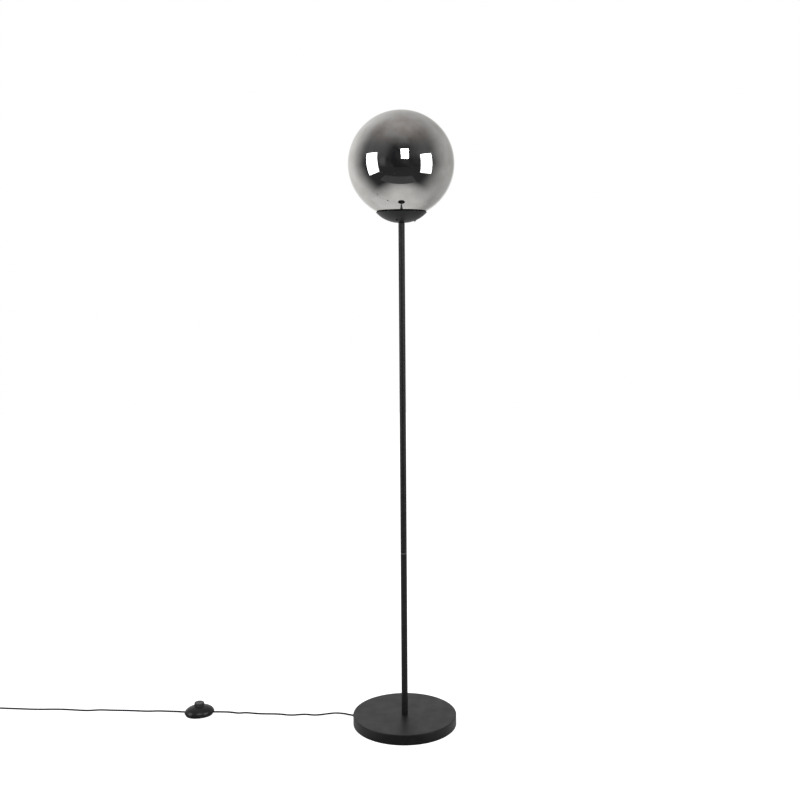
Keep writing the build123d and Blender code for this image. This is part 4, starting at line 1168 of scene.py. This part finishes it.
def floor_material():
    material, tree = new_material("white_paper_floor")
    place = add(tree, "ShaderNodeTexCoord").outputs["Object"]
    axes = add(tree, "ShaderNodeSeparateXYZ", {"Vector": place}).outputs
    x, y = axes["X"], axes["Y"]
    oval = add(tree, "ShaderNodeVectorMath", {0: place, 1: POOL_STRETCH}, operation="MULTIPLY")
    away = add(tree, "ShaderNodeVectorMath", {0: oval.outputs[0]}, operation="LENGTH")
    paper = all_of(
        tree, smooth_step(tree, away.outputs["Value"], *POOL_OF_LIGHT),
        smooth_step(tree, y, PAPER_FRONT - PAPER_SEAM, PAPER_FRONT + PAPER_SEAM),
    )
    from_globe = add(tree, "ShaderNodeVectorMath", {0: place, 1: (0, 0, GLOBE_CENTRE)},
                     operation="SUBTRACT").outputs[0]
    way = add(tree, "ShaderNodeVectorMath", {0: from_globe}, operation="NORMALIZE").outputs[0]
    seen = add(tree, "ShaderNodeSeparateXYZ", {"Vector": way}).outputs
    back, far = backdrop(tree, seen["X"], seen["Y"], seen["Z"])
    board = all_of(
        tree, band(tree, x, *BOARD_X),
        band(tree, y, *BOARD_FRONT, PAPER_FRONT - PAPER_SEAM, PAPER_FRONT + PAPER_SEAM),
    )
    dark = mixed(tree, board, ROOM_FLOOR, BOARD)
    reflected = mixed(tree, paper, mixed(tree, back, dark, far), PAPER)
    path, sharp = ray_kinds(tree)
    # Painted shade on the mirrored paper: dark close to the lamp, lighter in bands either side of
    # it.
    sideways = worked(tree, "ABSOLUTE", x, 0.0)
    beside = worked(tree, "MULTIPLY", band(tree, sideways, *BESIDE), BESIDE_GLEAM)
    gleam = smooth_step(tree, path["Ray Length"], *CLOSE_BY)
    gleam = worked(tree, "MAXIMUM", worked(tree, "MAXIMUM", gleam, beside), CLOSE_GLEAM)
    mirrored = add(tree, "ShaderNodeEmission", {"Color": reflected, "Strength": gleam})
    lit = add(tree, "ShaderNodeBsdfDiffuse", {"Color": FLOOR_GREY})
    white = add(tree, "ShaderNodeEmission", {"Color": WHITE, "Strength": FLOOR_GLOW})
    both = add(tree, "ShaderNodeAddShader", {0: lit.outputs[0], 1: white.outputs[0]})
    rays = add(tree, "ShaderNodeMixShader", {
        "Fac": path["Is Camera Ray"], 1: lit.outputs[0], 2: both.outputs[0],
    })
    surface = add(tree, "ShaderNodeMixShader", {
        "Fac": sharp, 1: rays.outputs[0], 2: mirrored.outputs[0],
    })
    add(tree, "ShaderNodeOutputMaterial", {"Surface": surface.outputs[0]})
    return material


def floor_plane():
    half = FLOOR_SIZE / 2
    mesh = bpy.data.meshes.new("floor")
    corners = [(-half, -half, 0), (half, -half, 0), (half, half, 0), (-half, half, 0)]
    mesh.from_pydata(corners, [], [(0, 1, 2, 3)])
    return link(mesh, "floor", floor_material())


floor = floor_plane()
print("floor", FLOOR_SIZE, "m wide")

# %% [markdown]
# ## Three soft boxes
# Their places were read from the globe's reflections: one far to the left, one to the right and
# one above the camera. As area lamps they light the lamp and show in its mirror.
# %% Soft boxes


def soft_box(name, azimuth, elevation, distance, width, height, power, turn=0.0):
    """An area lamp that faces the globe, seen from it at these angles, turned on its stand."""
    data = bpy.data.lights.new(name, "AREA")
    data.shape = "RECTANGLE"
    data.size = width
    data.size_y = height
    data.energy = power
    lamp = bpy.data.objects.new(name, data)
    scene.collection.objects.link(lamp)
    a, e = math.radians(azimuth), math.radians(elevation)
    way = Vector((math.sin(a) * math.cos(e), -math.cos(a) * math.cos(e), math.sin(e)))
    lamp.location = Vector((0, 0, GLOBE_CENTRE)) + way * distance
    lamp.rotation_mode = "QUATERNION"
    about_itself = Quaternion((0, 0, 1), math.radians(turn))
    lamp.rotation_quaternion = way.to_track_quat("Z", "Y") @ about_itself
    return lamp


soft_box("left_box", azimuth=-63.7, elevation=-1.2, distance=3.0,
         width=1.4, height=1.98, power=36, turn=5)
soft_box("right_box", azimuth=55.0, elevation=-2.7, distance=3.0,
         width=1.38, height=1.9, power=36, turn=5)
soft_box("camera_box", azimuth=7.9, elevation=15.0, distance=3.5,
         width=0.92, height=1.24, power=40)
